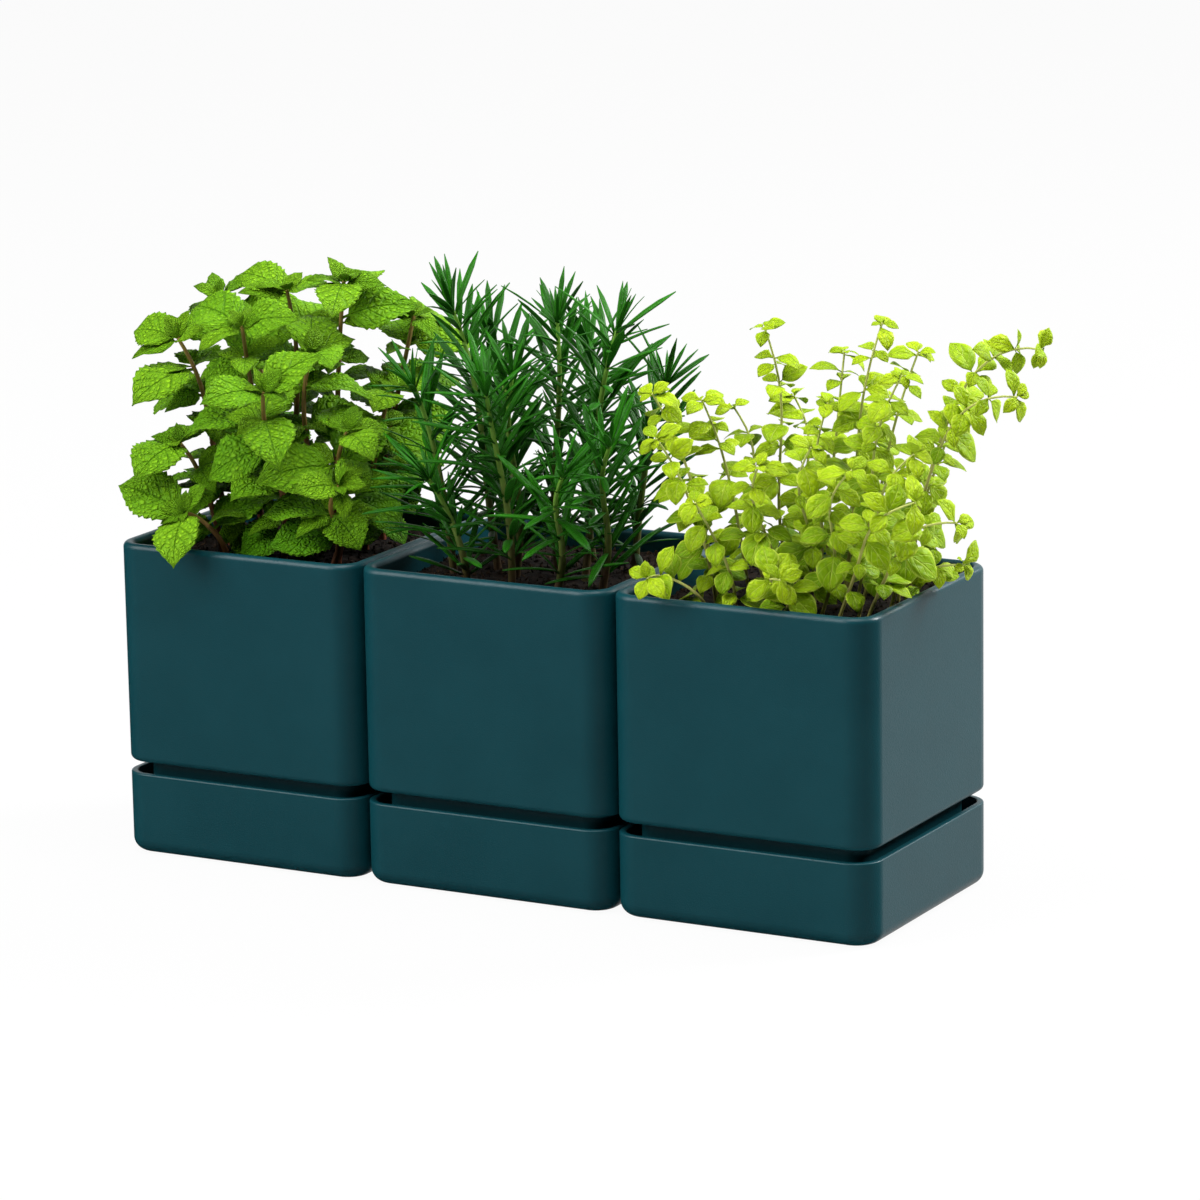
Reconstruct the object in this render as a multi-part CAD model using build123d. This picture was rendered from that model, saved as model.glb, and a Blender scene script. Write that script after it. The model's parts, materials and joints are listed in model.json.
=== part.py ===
# Indoor herb planter: a row of three square pots, each standing in its own water tray and planted with a herb.
# Frame in mm: X runs along the row, -Y is the front, Z is up, and the table is at Z = 0 under the middle tray.
from build123d import *
import math
import os
import random
from collections import namedtuple

import numpy as np

os.makedirs("parts", exist_ok=True)

# Sizes of the row
POT_WIDTH = 120.0
CORNER_RADIUS = 12.0
UNIT_GAP = 0.8
RIM_HEIGHT = 138.0

# Sizes of a tray
TRAY_HEIGHT = 36.0
TRAY_WALL = 3.0
TRAY_FLOOR = 3.0
TRAY_FOOT_FILLET = 6.0
TRAY_LIP_FILLET = 0.8

# Sizes of a pot
SLOT_HEIGHT = 5.0
POT_WALL = 5.0
RIM_FILLET = 2.4
SKIRT_FILLET = 2.5
NECK_INSET = 8.0
NECK_WALL = 4.0
NECK_CORNER_RADIUS = 8.0
NECK_FOOT_FILLET = 2.0
NECK_FLOOR = 4.0
SHELF_THICKNESS = 5.0
PAD_HEIGHT = 2.0
PAD_RADIUS = 6.0
PAD_OFFSET = 37.0
DRAIN_RADIUS = 3.0
DRAIN_COUNT = 8
DRAIN_RING_RADIUS = 26.0

# Sizes of the soil and of what is rooted in it
SOIL_BELOW_RIM = 8.0
SOIL_CLEARANCE = 0.3
SOIL_EDGE_FILLET = 2.0
ROOT_DEPTH = 12.0
STEM_STEPS = 8
ROOT_CLEARANCE = 0.15

# Room that leaves keep
SOIL_ROOM = 1.0
RIM_ROOM = 1.5
NEIGHBOUR_ROOM = 0.3

# Heights that follow
UNIT_PITCH = POT_WIDTH + UNIT_GAP
SKIRT_HEIGHT = TRAY_HEIGHT + SLOT_HEIGHT
SHELF_TOP = SKIRT_HEIGHT + SHELF_THICKNESS
NECK_BASE = TRAY_FLOOR + PAD_HEIGHT
NECK_FLOOR_TOP = NECK_BASE + NECK_FLOOR
NECK_WIDTH = POT_WIDTH - 2 * NECK_INSET
SOIL_TOP = RIM_HEIGHT - SOIL_BELOW_RIM
POT_INSIDE = POT_WIDTH - 2 * POT_WALL
NECK_INSIDE = NECK_WIDTH - 2 * NECK_WALL
INNER_REACH = POT_WIDTH / 2 + UNIT_GAP / 2 - NEIGHBOUR_ROOM
PLANTED_POT_WIDTH = 120.0
SPREAD = POT_WIDTH / PLANTED_POT_WIDTH

# The herbs: a sprig runs from its foot on the soil to its tip, mm from the middle of its pot and above the soil
Sprig = namedtuple("Sprig", "foot tip arch pairs turn")
Herb = namedtuple("Herb", "name unit free_left free_right stem_foot stem_tip sway first_pair leaf_length leaf_width "
                          "leaf_thickness folded petiole cup droop sunward unruly smallest rise_low rise_top "
                          "size_low size_top stations room sprigs")

MINT = Herb("mint", "left", True, False, 1.5, 0.8, 2.5, 0.20, 38.0, 27.0, 1.1, True, 0.12, 0.08, 84.0, 2.0, 18.0, 0.70,
            16.0, 28.0, 0.96, 0.84, (0.16, 0.44, 0.76), 3.2, (
    Sprig((-34, -6), (-58, -6, 89), 0.62, 6, 0),
    Sprig((-28, 12), (-50, 16, 104), 0.62, 6, 60),
    Sprig((-8, -14), (-14, -23, 100), 0.60, 6, 100),
    Sprig((-4, 6), (-10, 8, 111), 0.55, 6, 35),
    Sprig((10, 10), (16, 13, 116), 0.55, 6, 75),
    Sprig((22, 30), (33, 43, 97), 0.60, 6, 20),
    Sprig((8, -30), (7, -41, 76), 0.62, 5, 50),
    Sprig((-24, -28), (-39, -36, 49), 0.60, 4, 80),
    Sprig((28, -18), (38, -24, 58), 0.60, 4, 10),
    Sprig((-26, 30), (-46, 40, 70), 0.60, 5, 45),
    Sprig((24, 12), (36, 17, 68), 0.60, 4, 65),
    Sprig((6, -8), (13, -11, 88), 0.58, 5, 25),
    Sprig((-14, -40), (-26, -54, 23), 0.75, 3, 135),
    Sprig((34, -32), (44, -42, 38), 0.60, 3, 30)))

ROSEMARY = Herb("rosemary", "middle", False, False, 1.7, 0.8, 2.0, 0.10, 40.0, 4.2, 1.4, False, 0.04, 0.0, 30.0, 0.5,
                16.0, 0.76, 36.0, 58.0, 0.80, 0.72, (0.50,), 2.9, (
    Sprig((-24, 0), (-43, 0, 109), 0.60, 13, 0),
    Sprig((-34, -20), (-47, -27, 80), 0.60, 10, 30),
    Sprig((0, -30), (-6, -38, 82), 0.62, 10, 60),
    Sprig((2, 6), (3, 8, 106), 0.55, 13, 15),
    Sprig((22, -6), (39, -6, 107), 0.55, 13, 50),
    Sprig((34, 16), (47, 22, 80), 0.60, 10, 25),
    Sprig((-28, 26), (-44, 34, 90), 0.60, 10, 70),
    Sprig((6, 30), (2, 38, 90), 0.60, 10, 5),
    Sprig((24, -34), (34, -46, 52), 0.60, 7, 40),
    Sprig((-18, -36), (-30, -46, 46), 0.60, 7, 80),
    Sprig((-8, -12), (-7, -14, 86), 0.58, 10, 45),
    Sprig((38, -20), (50, -34, 64), 0.60, 8, 20)))

OREGANO = Herb("oregano", "right", False, True, 0.75, 0.4, 4.0, 0.16, 19.5, 13.0, 0.9, False, 0.18, 0.0, 88.0, 2.6,
               26.0, 0.50, 8.0, 30.0, 1.0, 0.52, (0.28, 0.66), 2.4, (
    Sprig((-28, -22), (-50, -35, 88), 0.60, 8, 20),
    Sprig((-22, -34), (-42, -47, 72), 0.62, 6, 70),
    Sprig((-18, -12), (-35, -20, 84), 0.58, 7, 40),
    Sprig((-12, 14), (-25, 18, 109), 0.55, 8, 10),
    Sprig((-26, 18), (-45, 28, 72), 0.60, 6, 60),
    Sprig((-10, 30), (-23, 41, 76), 0.60, 6, 30),
    Sprig((8, 8), (15, 12, 103), 0.55, 8, 80),
    Sprig((20, -1), (38, 0, 118), 0.55, 8, 50),
    Sprig((30, -10), (54, -15, 100), 0.60, 8, 15),
    Sprig((22, 18), (42, 26, 102), 0.58, 7, 45),
    Sprig((38, 14), (100, 20, 108), 0.98, 8, 75),
    Sprig((44, -6), (103, -11, 94), 0.95, 7, 25),
    Sprig((38, -24), (68, -34, 72), 0.70, 6, 55),
    Sprig((46, -34), (88, -36, 46), 0.95, 5, 35),
    Sprig((36, -40), (76, -50, 56), 0.80, 6, 65),
    Sprig((24, -30), (46, -46, 66), 0.65, 6, 5),
    Sprig((12, -22), (24, -38, 72), 0.60, 6, 85),
    Sprig((2, -34), (4, -46, 64), 0.60, 6, 12),
    Sprig((-10, -40), (-22, -52, 48), 0.62, 5, 42),
    Sprig((-20, -45), (-37, -66, 18), 0.95, 5, 72),
    Sprig((10, -8), (18, -10, 85), 0.55, 6, 22),
    Sprig((8, 28), (15, 40, 72), 0.60, 6, 52),
    Sprig((46, 6), (74, 1, 20), 0.95, 4, 82),
    Sprig((34, 34), (52, 44, 74), 0.60, 6, 2),
    Sprig((12, -44), (22, -63, 22), 0.92, 5, 32)))

# Leaves turn to the light, which comes from in front and a little from the right
WINDOW = np.array([0.45, -0.86, 0.24])
SUN_RISE = math.radians(12.0)
SUN_DROOP = 0.35

HERBS = (MINT, ROSEMARY, OREGANO)
UNIT_X = {"left": -UNIT_PITCH, "middle": 0.0, "right": UNIT_PITCH}


# Growth of a sprig: the stem is a bent line, and its leaves stand in pairs, each pair crossing the one below
def unit_vector(v):
    return v / np.linalg.norm(v)


def stem_line(sprig):
    foot = np.array([sprig.foot[0] * SPREAD, sprig.foot[1] * SPREAD, 0.0])
    tip = np.array([sprig.tip[0] * SPREAD, sprig.tip[1] * SPREAD, sprig.tip[2]])
    bend = foot + (tip - foot) * np.array([0.22, 0.22, sprig.arch])
    if sprig.arch > 0.9:
        bend = foot + (tip - foot) * np.array([0.34, 0.34, sprig.arch * 1.1])
    return foot, bend, tip


def stem_side(sprig):
    lean = np.array([sprig.tip[0] - sprig.foot[0], sprig.tip[1] - sprig.foot[1], 0.0])
    return unit_vector(np.cross([0.0, 0.0, 1.0], lean))


def stem_point(herb, sprig, t):
    foot, bend, tip = stem_line(sprig)
    arc = foot * (1 - t) ** 2 + bend * 2 * t * (1 - t) + tip * t ** 2
    return arc + stem_side(sprig) * herb.sway * math.sin(2 * math.pi * t)


def stem_direction(herb, sprig, t):
    return unit_vector(stem_point(herb, sprig, t + 0.01) - stem_point(herb, sprig, t - 0.01))


def stem_radius(herb, t):
    return herb.stem_foot + (herb.stem_tip - herb.stem_foot) * t


# A leaf is an arc from the stem's axis: base, direction, upper side, width side, length, half width and bend
Leaf = namedtuple("Leaf", "base ahead above across length half_width bend")


def leaf_at(herb, sprig, t, turn, rise, droop, sun, size, shorten):
    along = stem_direction(herb, sprig, t)
    side = stem_side(sprig)
    front = unit_vector(np.cross(along, side))
    outward = side * math.cos(turn) + front * math.sin(turn)
    lean = np.dot(outward, WINDOW)
    rise = rise - SUN_RISE * lean
    ahead = outward * math.cos(rise) + along * math.sin(rise)
    upward = unit_vector(along + np.array([0.0, 0.0, 0.8]) + sun * WINDOW)
    above = unit_vector(upward - ahead * np.dot(upward, ahead))
    across = np.cross(ahead, above)
    length = herb.leaf_length * size * shorten
    half_width = herb.leaf_width * size * math.sqrt(shorten) / 2
    bend = droop * (1 - SUN_DROOP + SUN_DROOP * lean)
    return Leaf(stem_point(herb, sprig, t), ahead, above, across, length, half_width, bend)


def midrib(leaf, s):
    a = leaf.bend * s
    place = leaf.base + leaf.length / leaf.bend * (leaf.ahead * math.sin(a) - leaf.above * (1 - math.cos(a)))
    above = leaf.above * math.cos(a) + leaf.ahead * math.sin(a)
    return place, above


def outline(herb, leaf, blade):
    return leaf.half_width * math.sin(math.pi * blade ** 0.78) ** 0.8


def leaf_points(herb, leaf):
    points = []
    rows = 12
    for row in range(rows):
        blade = (row + 0.4) / (rows - 0.55)
        place, above = midrib(leaf, herb.petiole + (1 - herb.petiole) * min(blade, 1.0))
        half = outline(herb, leaf, min(blade, 0.999))
        for v in (np.linspace(-1, 1, 7) if half > 2.0 else (0.0,)):
            points.append(place + leaf.across * half * v + above * abs(half * v) * herb.cup)
    return np.array(points)


def has_room(herb, leaf, points, others):
    x, y, z = points[:, 0], points[:, 1], points[:, 2]
    if not herb.free_left and x.min() < -INNER_REACH:
        return False
    if not herb.free_right and x.max() > INNER_REACH:
        return False
    reach = np.maximum(abs(x), abs(y))
    inside = reach < POT_WIDTH / 2 + RIM_ROOM
    if (z[inside] < SOIL_ROOM).any():
        return False
    over_wall = inside & (reach > POT_INSIDE / 2 - RIM_ROOM)
    if (z[over_wall] < SOIL_BELOW_RIM + RIM_ROOM).any():
        return False
    near = others[np.linalg.norm(others - leaf.base, axis=1) < leaf.length + herb.room]
    if len(near) == 0:
        return True
    return np.linalg.norm(points[:, None, :] - near[None, :, :], axis=2).min() > herb.room


# A leaf with no room turns aside by so many degrees, or stays short by so large a share
SIDESTEPS = ((0, 1), (28, 1), (-28, 1), (0, 0.8), (50, 0.9), (-50, 0.9), (0, 0.62), (30, 0.6), (-30, 0.6))


def grow(herb):
    dice = random.Random(len(herb.sprigs) + int(herb.leaf_length))
    stems = [np.array([stem_point(herb, s, t) for t in np.linspace(0, 1, 60)]) for s in herb.sprigs]
    grown = [[] for s in herb.sprigs]
    taken = [[] for s in herb.sprigs]
    for level in range(max(s.pairs for s in herb.sprigs)):
        for n, sprig in enumerate(herb.sprigs):
            pair = sprig.pairs - 1 - level
            if pair < 0:
                continue
            share = pair / (sprig.pairs - 1)
            gap = (0.995 - herb.first_pair) / (sprig.pairs - 1)
            t = herb.first_pair + gap * (pair + (dice.uniform(-0.3, 0.3) if level else 0.0))
            rise = herb.rise_low + (herb.rise_top - herb.rise_low) * share ** 2
            size = herb.size_low + (1.0 - herb.size_low) * math.sin(math.pi * share)
            size = size + (herb.size_top - herb.size_low) * share ** 4
            crowd = stems[:n] + stems[n + 1:] + [p for m, ps in enumerate(taken) if m != n for p in ps]
            crowd = np.concatenate(crowd)
            for side in (0, 1):
                turn = sprig.turn + 90 * pair + 180 * side + dice.uniform(-20, 20)
                tilt = math.radians(rise + dice.uniform(-herb.unruly, herb.unruly))
                droop = math.radians(herb.droop * dice.uniform(0.55, 1.3) * (1 - 0.4 * share ** 2))
                sun = herb.sunward * dice.uniform(0.0, 1.0)
                grade = size * dice.uniform(herb.smallest, 1.08)
                for aside, shorten in SIDESTEPS:
                    leaf = leaf_at(herb, sprig, t, math.radians(turn + aside), tilt, droop, sun, grade, shorten)
                    points = leaf_points(herb, leaf)
                    if has_room(herb, leaf, points, crowd):
                        grown[n].append(leaf)
                        taken[n].append(points)
                        break
    return grown


# Solids of the plants, made of flat facets
def faceted_solid(rings, tip):
    faces = [Face(Wire.make_polygon([Vector(*p) for p in rings[0]]))]
    for low, high in zip(rings[:-1], rings[1:]):
        for k in range(len(low)):
            m = (k + 1) % len(low)
            faces.append(Face(Wire.make_polygon([Vector(*low[k]), Vector(*low[m]), Vector(*high[k])])))
            faces.append(Face(Wire.make_polygon([Vector(*low[m]), Vector(*high[m]), Vector(*high[k])])))
    last = rings[-1]
    if tip is None:
        faces.append(Face(Wire.make_polygon([Vector(*p) for p in reversed(last)])))
    else:
        for k in range(len(last)):
            m = (k + 1) % len(last)
            faces.append(Face(Wire.make_polygon([Vector(*last[k]), Vector(*last[m]), Vector(*tip)])))
    solid = Solid(Shell(faces))
    return solid if solid.volume > 0 else -solid


def leaf_solid(herb, leaf):
    stalk = min(0.32 * leaf.half_width, 0.75)
    rings = []
    for blade in (None,) + herb.stations:
        place, above = midrib(leaf, 0.0 if blade is None else herb.petiole + (1 - herb.petiole) * blade)
        half = stalk if blade is None else outline(herb, leaf, blade)
        lift = above * half * herb.cup
        thick = above * herb.leaf_thickness / 2
        ring = [place - leaf.across * half + lift, place - thick, place + leaf.across * half + lift]
        rings.append(ring + [place + thick] if herb.folded else ring)
    return faceted_solid(rings, midrib(leaf, 1.0)[0])


def stem_solid(herb, sprig):
    side = stem_side(sprig)
    foot = stem_point(herb, sprig, 0.0)
    front = np.cross([0.0, 0.0, 1.0], side)
    rings = []
    for drop in (ROOT_DEPTH, 0.0):
        place = foot - np.array([0.0, 0.0, drop])
        r = herb.stem_foot
        rings.append([place + side * r + front * r, place - side * r + front * r,
                      place - side * r - front * r, place + side * r - front * r])
    for step in range(1, STEM_STEPS + 1):
        t = step / STEM_STEPS
        place = stem_point(herb, sprig, t)
        front = unit_vector(np.cross(stem_direction(herb, sprig, t), side))
        r = stem_radius(herb, t)
        rings.append([place + side * r + front * r, place - side * r + front * r,
                      place - side * r - front * r, place + side * r - front * r])
    return faceted_solid(rings, None)


def sprig_solid(herb, sprig, leaves):
    return stem_solid(herb, sprig).fuse(*[leaf_solid(herb, leaf) for leaf in leaves])


def root_pocket(herb, sprig):
    side = stem_side(sprig)
    width = 2 * (herb.stem_foot + ROOT_CLEARANCE)
    depth = ROOT_DEPTH + ROOT_CLEARANCE
    turn = math.degrees(math.atan2(side[1], side[0]))
    foot = stem_point(herb, sprig, 0.0)
    place = Pos(foot[0], foot[1], SOIL_TOP - depth / 2 + 1.0) * Rot(0, 0, turn)
    return place * Box(width, width, depth + 2.0)


# Mouldings
def square_block(width, radius, low, high):
    return extrude(Pos(0, 0, low) * RectangleRounded(width, width, radius), high - low)


def tray():
    shell = square_block(POT_WIDTH, CORNER_RADIUS, 0, TRAY_HEIGHT)
    shell = fillet(shell.faces().sort_by(Axis.Z)[0].edges(), TRAY_FOOT_FILLET)
    hollow = square_block(POT_WIDTH - 2 * TRAY_WALL, CORNER_RADIUS - TRAY_WALL, TRAY_FLOOR, TRAY_HEIGHT + 1)
    hollow = fillet(hollow.faces().sort_by(Axis.Z)[0].edges(), TRAY_FOOT_FILLET - TRAY_WALL)
    shell = shell - hollow
    return fillet(shell.faces().sort_by(Axis.Z)[-1].edges(), TRAY_LIP_FILLET)


def pot():
    box = square_block(POT_WIDTH, CORNER_RADIUS, SKIRT_HEIGHT, RIM_HEIGHT)
    box = fillet(box.faces().sort_by(Axis.Z)[0].edges(), SKIRT_FILLET)
    neck = square_block(NECK_WIDTH, NECK_CORNER_RADIUS, NECK_BASE, SHELF_TOP)
    neck = fillet(neck.faces().sort_by(Axis.Z)[0].edges(), NECK_FOOT_FILLET)
    body = box + neck
    body = body - square_block(POT_INSIDE, CORNER_RADIUS - POT_WALL, SHELF_TOP, RIM_HEIGHT + 1)
    body = body - square_block(NECK_INSIDE, NECK_CORNER_RADIUS - NECK_WALL, NECK_FLOOR_TOP, SHELF_TOP + 1)
    body = fillet(body.faces().sort_by(Axis.Z)[-1].edges(), RIM_FILLET)
    for place in GridLocations(2 * PAD_OFFSET, 2 * PAD_OFFSET, 2, 2):
        pad = Pos(0, 0, TRAY_FLOOR + PAD_HEIGHT / 2 + 0.5) * Cylinder(PAD_RADIUS, PAD_HEIGHT + 1.0)
        body = body + place * pad
    for place in PolarLocations(DRAIN_RING_RADIUS, DRAIN_COUNT):
        body = body - place * (Pos(0, 0, NECK_BASE + NECK_FLOOR / 2) * Cylinder(DRAIN_RADIUS, NECK_FLOOR + 2))
    return body - Pos(0, 0, NECK_BASE + NECK_FLOOR / 2) * Cylinder(DRAIN_RADIUS, NECK_FLOOR + 2)


def soil(herb):
    gap = SOIL_CLEARANCE
    body = square_block(POT_INSIDE - 2 * gap, CORNER_RADIUS - POT_WALL - gap, SHELF_TOP + gap, SOIL_TOP)
    body = fillet(body.faces().sort_by(Axis.Z)[-1].edges(), SOIL_EDGE_FILLET)
    body = body + square_block(NECK_INSIDE - 2 * gap, NECK_CORNER_RADIUS - NECK_WALL - gap,
                               NECK_FLOOR_TOP + gap, SHELF_TOP + gap + 1)
    for sprig in herb.sprigs:
        body = body - root_pocket(herb, sprig)
    return body


# Build every piece in its place
tray_form = tray()
pot_form = pot()
for herb in HERBS:
    place = Pos(UNIT_X[herb.unit], 0, 0)
    export_step(place * tray_form, "parts/tray_" + herb.unit + ".step")
    export_step(place * pot_form, "parts/pot_" + herb.unit + ".step")
    export_step(place * soil(herb), "parts/soil_" + herb.unit + ".step")
    for number, (sprig, leaves) in enumerate(zip(herb.sprigs, grow(herb)), 1):
        form = Pos(UNIT_X[herb.unit], 0, SOIL_TOP) * sprig_solid(herb, sprig, leaves)
        export_step(form, "parts/" + herb.name + "_sprig_" + str(number) + ".step")
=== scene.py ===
# %% [markdown]
# Indoor herb planter
# Three square pots of matte teal plastic stand in a row, each in its own water tray and each planted with
# a herb: mint on the left, rosemary in the middle and oregano on the right. The rigid pieces come from the
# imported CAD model. This lesson gives the mouldings their finish and grows soil, stems and leaves where the
# CAD has plain solids.

import json
import math
import random
from collections import namedtuple
from functools import partial

import bmesh
import bpy
import numpy as np
from mathutils import Matrix, Vector, noise

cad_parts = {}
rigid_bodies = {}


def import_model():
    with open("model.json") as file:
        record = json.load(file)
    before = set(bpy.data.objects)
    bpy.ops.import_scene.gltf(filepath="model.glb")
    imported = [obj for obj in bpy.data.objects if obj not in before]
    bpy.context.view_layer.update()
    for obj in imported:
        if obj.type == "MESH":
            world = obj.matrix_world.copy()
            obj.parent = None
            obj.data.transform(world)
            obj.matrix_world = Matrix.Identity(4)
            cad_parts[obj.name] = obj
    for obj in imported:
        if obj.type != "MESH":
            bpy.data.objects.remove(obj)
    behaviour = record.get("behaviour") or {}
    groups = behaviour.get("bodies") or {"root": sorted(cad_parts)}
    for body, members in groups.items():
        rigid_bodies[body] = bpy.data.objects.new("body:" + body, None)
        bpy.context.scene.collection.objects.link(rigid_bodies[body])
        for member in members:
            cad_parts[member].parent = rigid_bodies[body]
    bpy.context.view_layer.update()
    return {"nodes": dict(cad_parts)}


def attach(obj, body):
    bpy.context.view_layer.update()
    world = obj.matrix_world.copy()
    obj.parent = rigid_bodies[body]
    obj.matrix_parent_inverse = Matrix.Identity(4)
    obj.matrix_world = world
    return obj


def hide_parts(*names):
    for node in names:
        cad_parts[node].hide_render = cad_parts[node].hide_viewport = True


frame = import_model()

# %% [markdown]
# Camera
# The photograph was taken with a long lens, a little above the pots and from their right. A camera could
# be turned by hand until the picture looks right. Here its place and angles were fitted to the straight
# edges of the pots, so that the render can be laid over the photograph. A camera looks along its own -Z,
# so its matrix is written from three directions: right, up and back.

# %% Set the camera
CAMERA_PLACE = Vector((1.0973, -1.9646, 0.6320))
CAMERA_YAW, CAMERA_PITCH, CAMERA_ROLL = 28.612, 12.898, -0.978
FOCAL_PIXELS, PICTURE_PIXELS, SENSOR = 5414.6, 1200.0, 36.0
yaw, pitch, roll = (math.radians(angle) for angle in (CAMERA_YAW, CAMERA_PITCH, CAMERA_ROLL))
ahead = Vector((-math.sin(yaw) * math.cos(pitch), math.cos(yaw) * math.cos(pitch), -math.sin(pitch)))
level_right = Vector((math.cos(yaw), math.sin(yaw), 0.0))
level_up = level_right.cross(ahead)
right = level_right * math.cos(roll) + level_up * math.sin(roll)
up = level_up * math.cos(roll) - level_right * math.sin(roll)
scene = bpy.context.scene
camera = bpy.data.objects.new("camera", bpy.data.cameras.new("camera"))
camera.data.sensor_fit = "HORIZONTAL"
camera.data.sensor_width = SENSOR
camera.data.lens = FOCAL_PIXELS / PICTURE_PIXELS * SENSOR
turn = Matrix((right, up, -ahead)).transposed().to_4x4()
camera.matrix_world = Matrix.Translation(CAMERA_PLACE) @ turn
scene.collection.objects.link(camera)
scene.camera = camera
print("lens", round(camera.data.lens, 1), "mm")

# %% [markdown]
# Floor
# The photograph is a studio picture on plain white, where the trays cast a soft shadow. One large face is
# enough for a floor. It lies a hair below the trays, so that the two don't show through each other. The
# helper that makes it from points, edges and faces serves every piece below.

# %% Make the floor
FLOOR_HALF, FLOOR_DROP = 6.0, 0.0004


def mesh_object(name, vertices, edges, faces):
    mesh = bpy.data.meshes.new(name)
    mesh.from_pydata([tuple(v) for v in vertices], edges, faces)
    mesh.update()
    piece = bpy.data.objects.new(name, mesh)
    scene.collection.objects.link(piece)
    return piece


corners = [(x * FLOOR_HALF, y * FLOOR_HALF, -FLOOR_DROP) for x, y in ((-1, -1), (1, -1), (1, 1), (-1, 1))]
floor = mesh_object("floor", corners, [], [(0, 1, 2, 3)])
print("floor", 2 * FLOOR_HALF, "m wide")

# %% [markdown]
# Nodes in code
# A finish is a material with Blender's Principled shader. Its nodes could be set by hand in the editor, but
# wired in code they can be read and changed here. One helper adds a node with its settings and inputs, and
# an input is a plain value or another node's output. So a tree reads as a list of what feeds what. Where
# only a node's first output is needed, output_of gives it.

# %% Start the floor's finish
FLOOR_GREY = (0.55, 0.55, 0.55, 1.0)


def wire(tree, value, socket):
    if isinstance(value, bpy.types.NodeSocket):
        tree.links.new(value, socket)
    elif value is not None:
        socket.default_value = value


def add_node(tree, kind, inputs=None, **settings):
    node = tree.nodes.new(kind)
    for name, value in settings.items():
        setattr(node, name, value)
    for name, value in (inputs or {}).items():
        wire(tree, value, next(socket for socket in node.inputs if socket.name == name and socket.enabled))
    return node


def output_of(tree, kind, inputs=None, **settings):
    node = add_node(tree, kind, inputs, **settings)
    return next(socket for socket in node.outputs if socket.enabled)


def new_finish(name, roughness, specular):
    finish = bpy.data.materials.new(name)
    finish.use_nodes = True
    shader = finish.node_tree.nodes["Principled BSDF"]
    shader.inputs["Roughness"].default_value = roughness
    shader.inputs["Specular IOR Level"].default_value = specular
    return finish, finish.node_tree, shader


floor_finish, tree, shader = new_finish("pale_floor", roughness=0.9, specular=0.5)
shader.inputs["Base Color"].default_value = FLOOR_GREY
floor.data.materials.append(floor_finish)
print("finish", floor_finish.name, "with", len(tree.nodes), "nodes")

# %% [markdown]
# White for the camera
# A floor lit to plain white would take so much light that the leaves wash out. So the camera sees the floor
# mostly as plain white, and a small share of its own shading keeps the shadow. Mirrored rays don't meet it,
# because the pots would show so bright a floor.

# %% Make the floor white
SEEN_WHITE = 0.95


def math_node(tree, operation, a, b=None, clamp=False):
    node = add_node(tree, "ShaderNodeMath", operation=operation, use_clamp=clamp)
    wire(tree, a, node.inputs[0])
    wire(tree, b, node.inputs[1])
    return node.outputs[0]


plain_white = output_of(tree, "ShaderNodeEmission", {"Strength": 1.0})
seen = add_node(tree, "ShaderNodeLightPath").outputs["Is Camera Ray"]
mixed = add_node(tree, "ShaderNodeMixShader", {"Fac": math_node(tree, "MULTIPLY", seen, SEEN_WHITE)})
tree.links.new(shader.outputs[0], mixed.inputs[1])
tree.links.new(plain_white, mixed.inputs[2])
tree.links.new(mixed.outputs[0], tree.nodes["Material Output"].inputs["Surface"])
floor.visible_glossy = False
print("floor", SEEN_WHITE, "white to the camera")

# %% [markdown]
# What the pots mirror
# Dark plastic shows, a little blurred, what stands round it. A picture of a studio could be wrapped round
# the scene, but a few numbers do. This world is nearly black, with a bright panel behind the row, which
# gives the side of the last pot its pale sheen, and a faint one in front on the left. The dot product of a
# ray's direction with a panel's says how near the ray points to it. Only the camera sees plain white.

# %% Make the world
Panel = namedtuple("Panel", "way light")
PANELS = (Panel((-0.09, 0.995, 0.0), 0.95), Panel((-0.57, -0.82, 0.0), 0.06))
PANEL_RIM, PANEL_FACE, DARK_LIGHT = 0.70, 0.78, 0.01


def ramp_node(tree, value, low, high, start=0.0, end=1.0):
    ends = {"From Min": low, "From Max": high, "To Min": start, "To Max": end}
    return output_of(tree, "ShaderNodeMapRange", {"Value": value, **ends}, interpolation_type="SMOOTHSTEP")


world = bpy.data.worlds.new("studio")
world.use_nodes = True
scene.world = world
tree = world.node_tree
look_way = add_node(tree, "ShaderNodeTexCoord").outputs["Generated"]
strength = add_node(tree, "ShaderNodeLightPath").outputs["Is Camera Ray"]
for panel in PANELS:
    toward = add_node(tree, "ShaderNodeVectorMath", {"Vector": look_way}, operation="DOT_PRODUCT")
    toward.inputs[1].default_value = panel.way
    shed = ramp_node(tree, toward.outputs["Value"], PANEL_RIM, PANEL_FACE, DARK_LIGHT, panel.light)
    strength = math_node(tree, "MAXIMUM", strength, shed)
background = tree.nodes["Background"]
background.inputs["Color"].default_value = (1.0, 1.0, 1.0, 1.0)
tree.links.new(strength, background.inputs["Strength"])
print(len(PANELS), "panels")

# %% [markdown]
# Lamps
# Three area lamps give the shapes: a large one in front on the left for the fronts, one above for leaves
# and rims, and a smaller one behind on the right that parts the leaves from each other. Point lamps would be
# simpler, but a large lamp makes soft shadows and a dull highlight, which suit matte plastic.

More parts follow.
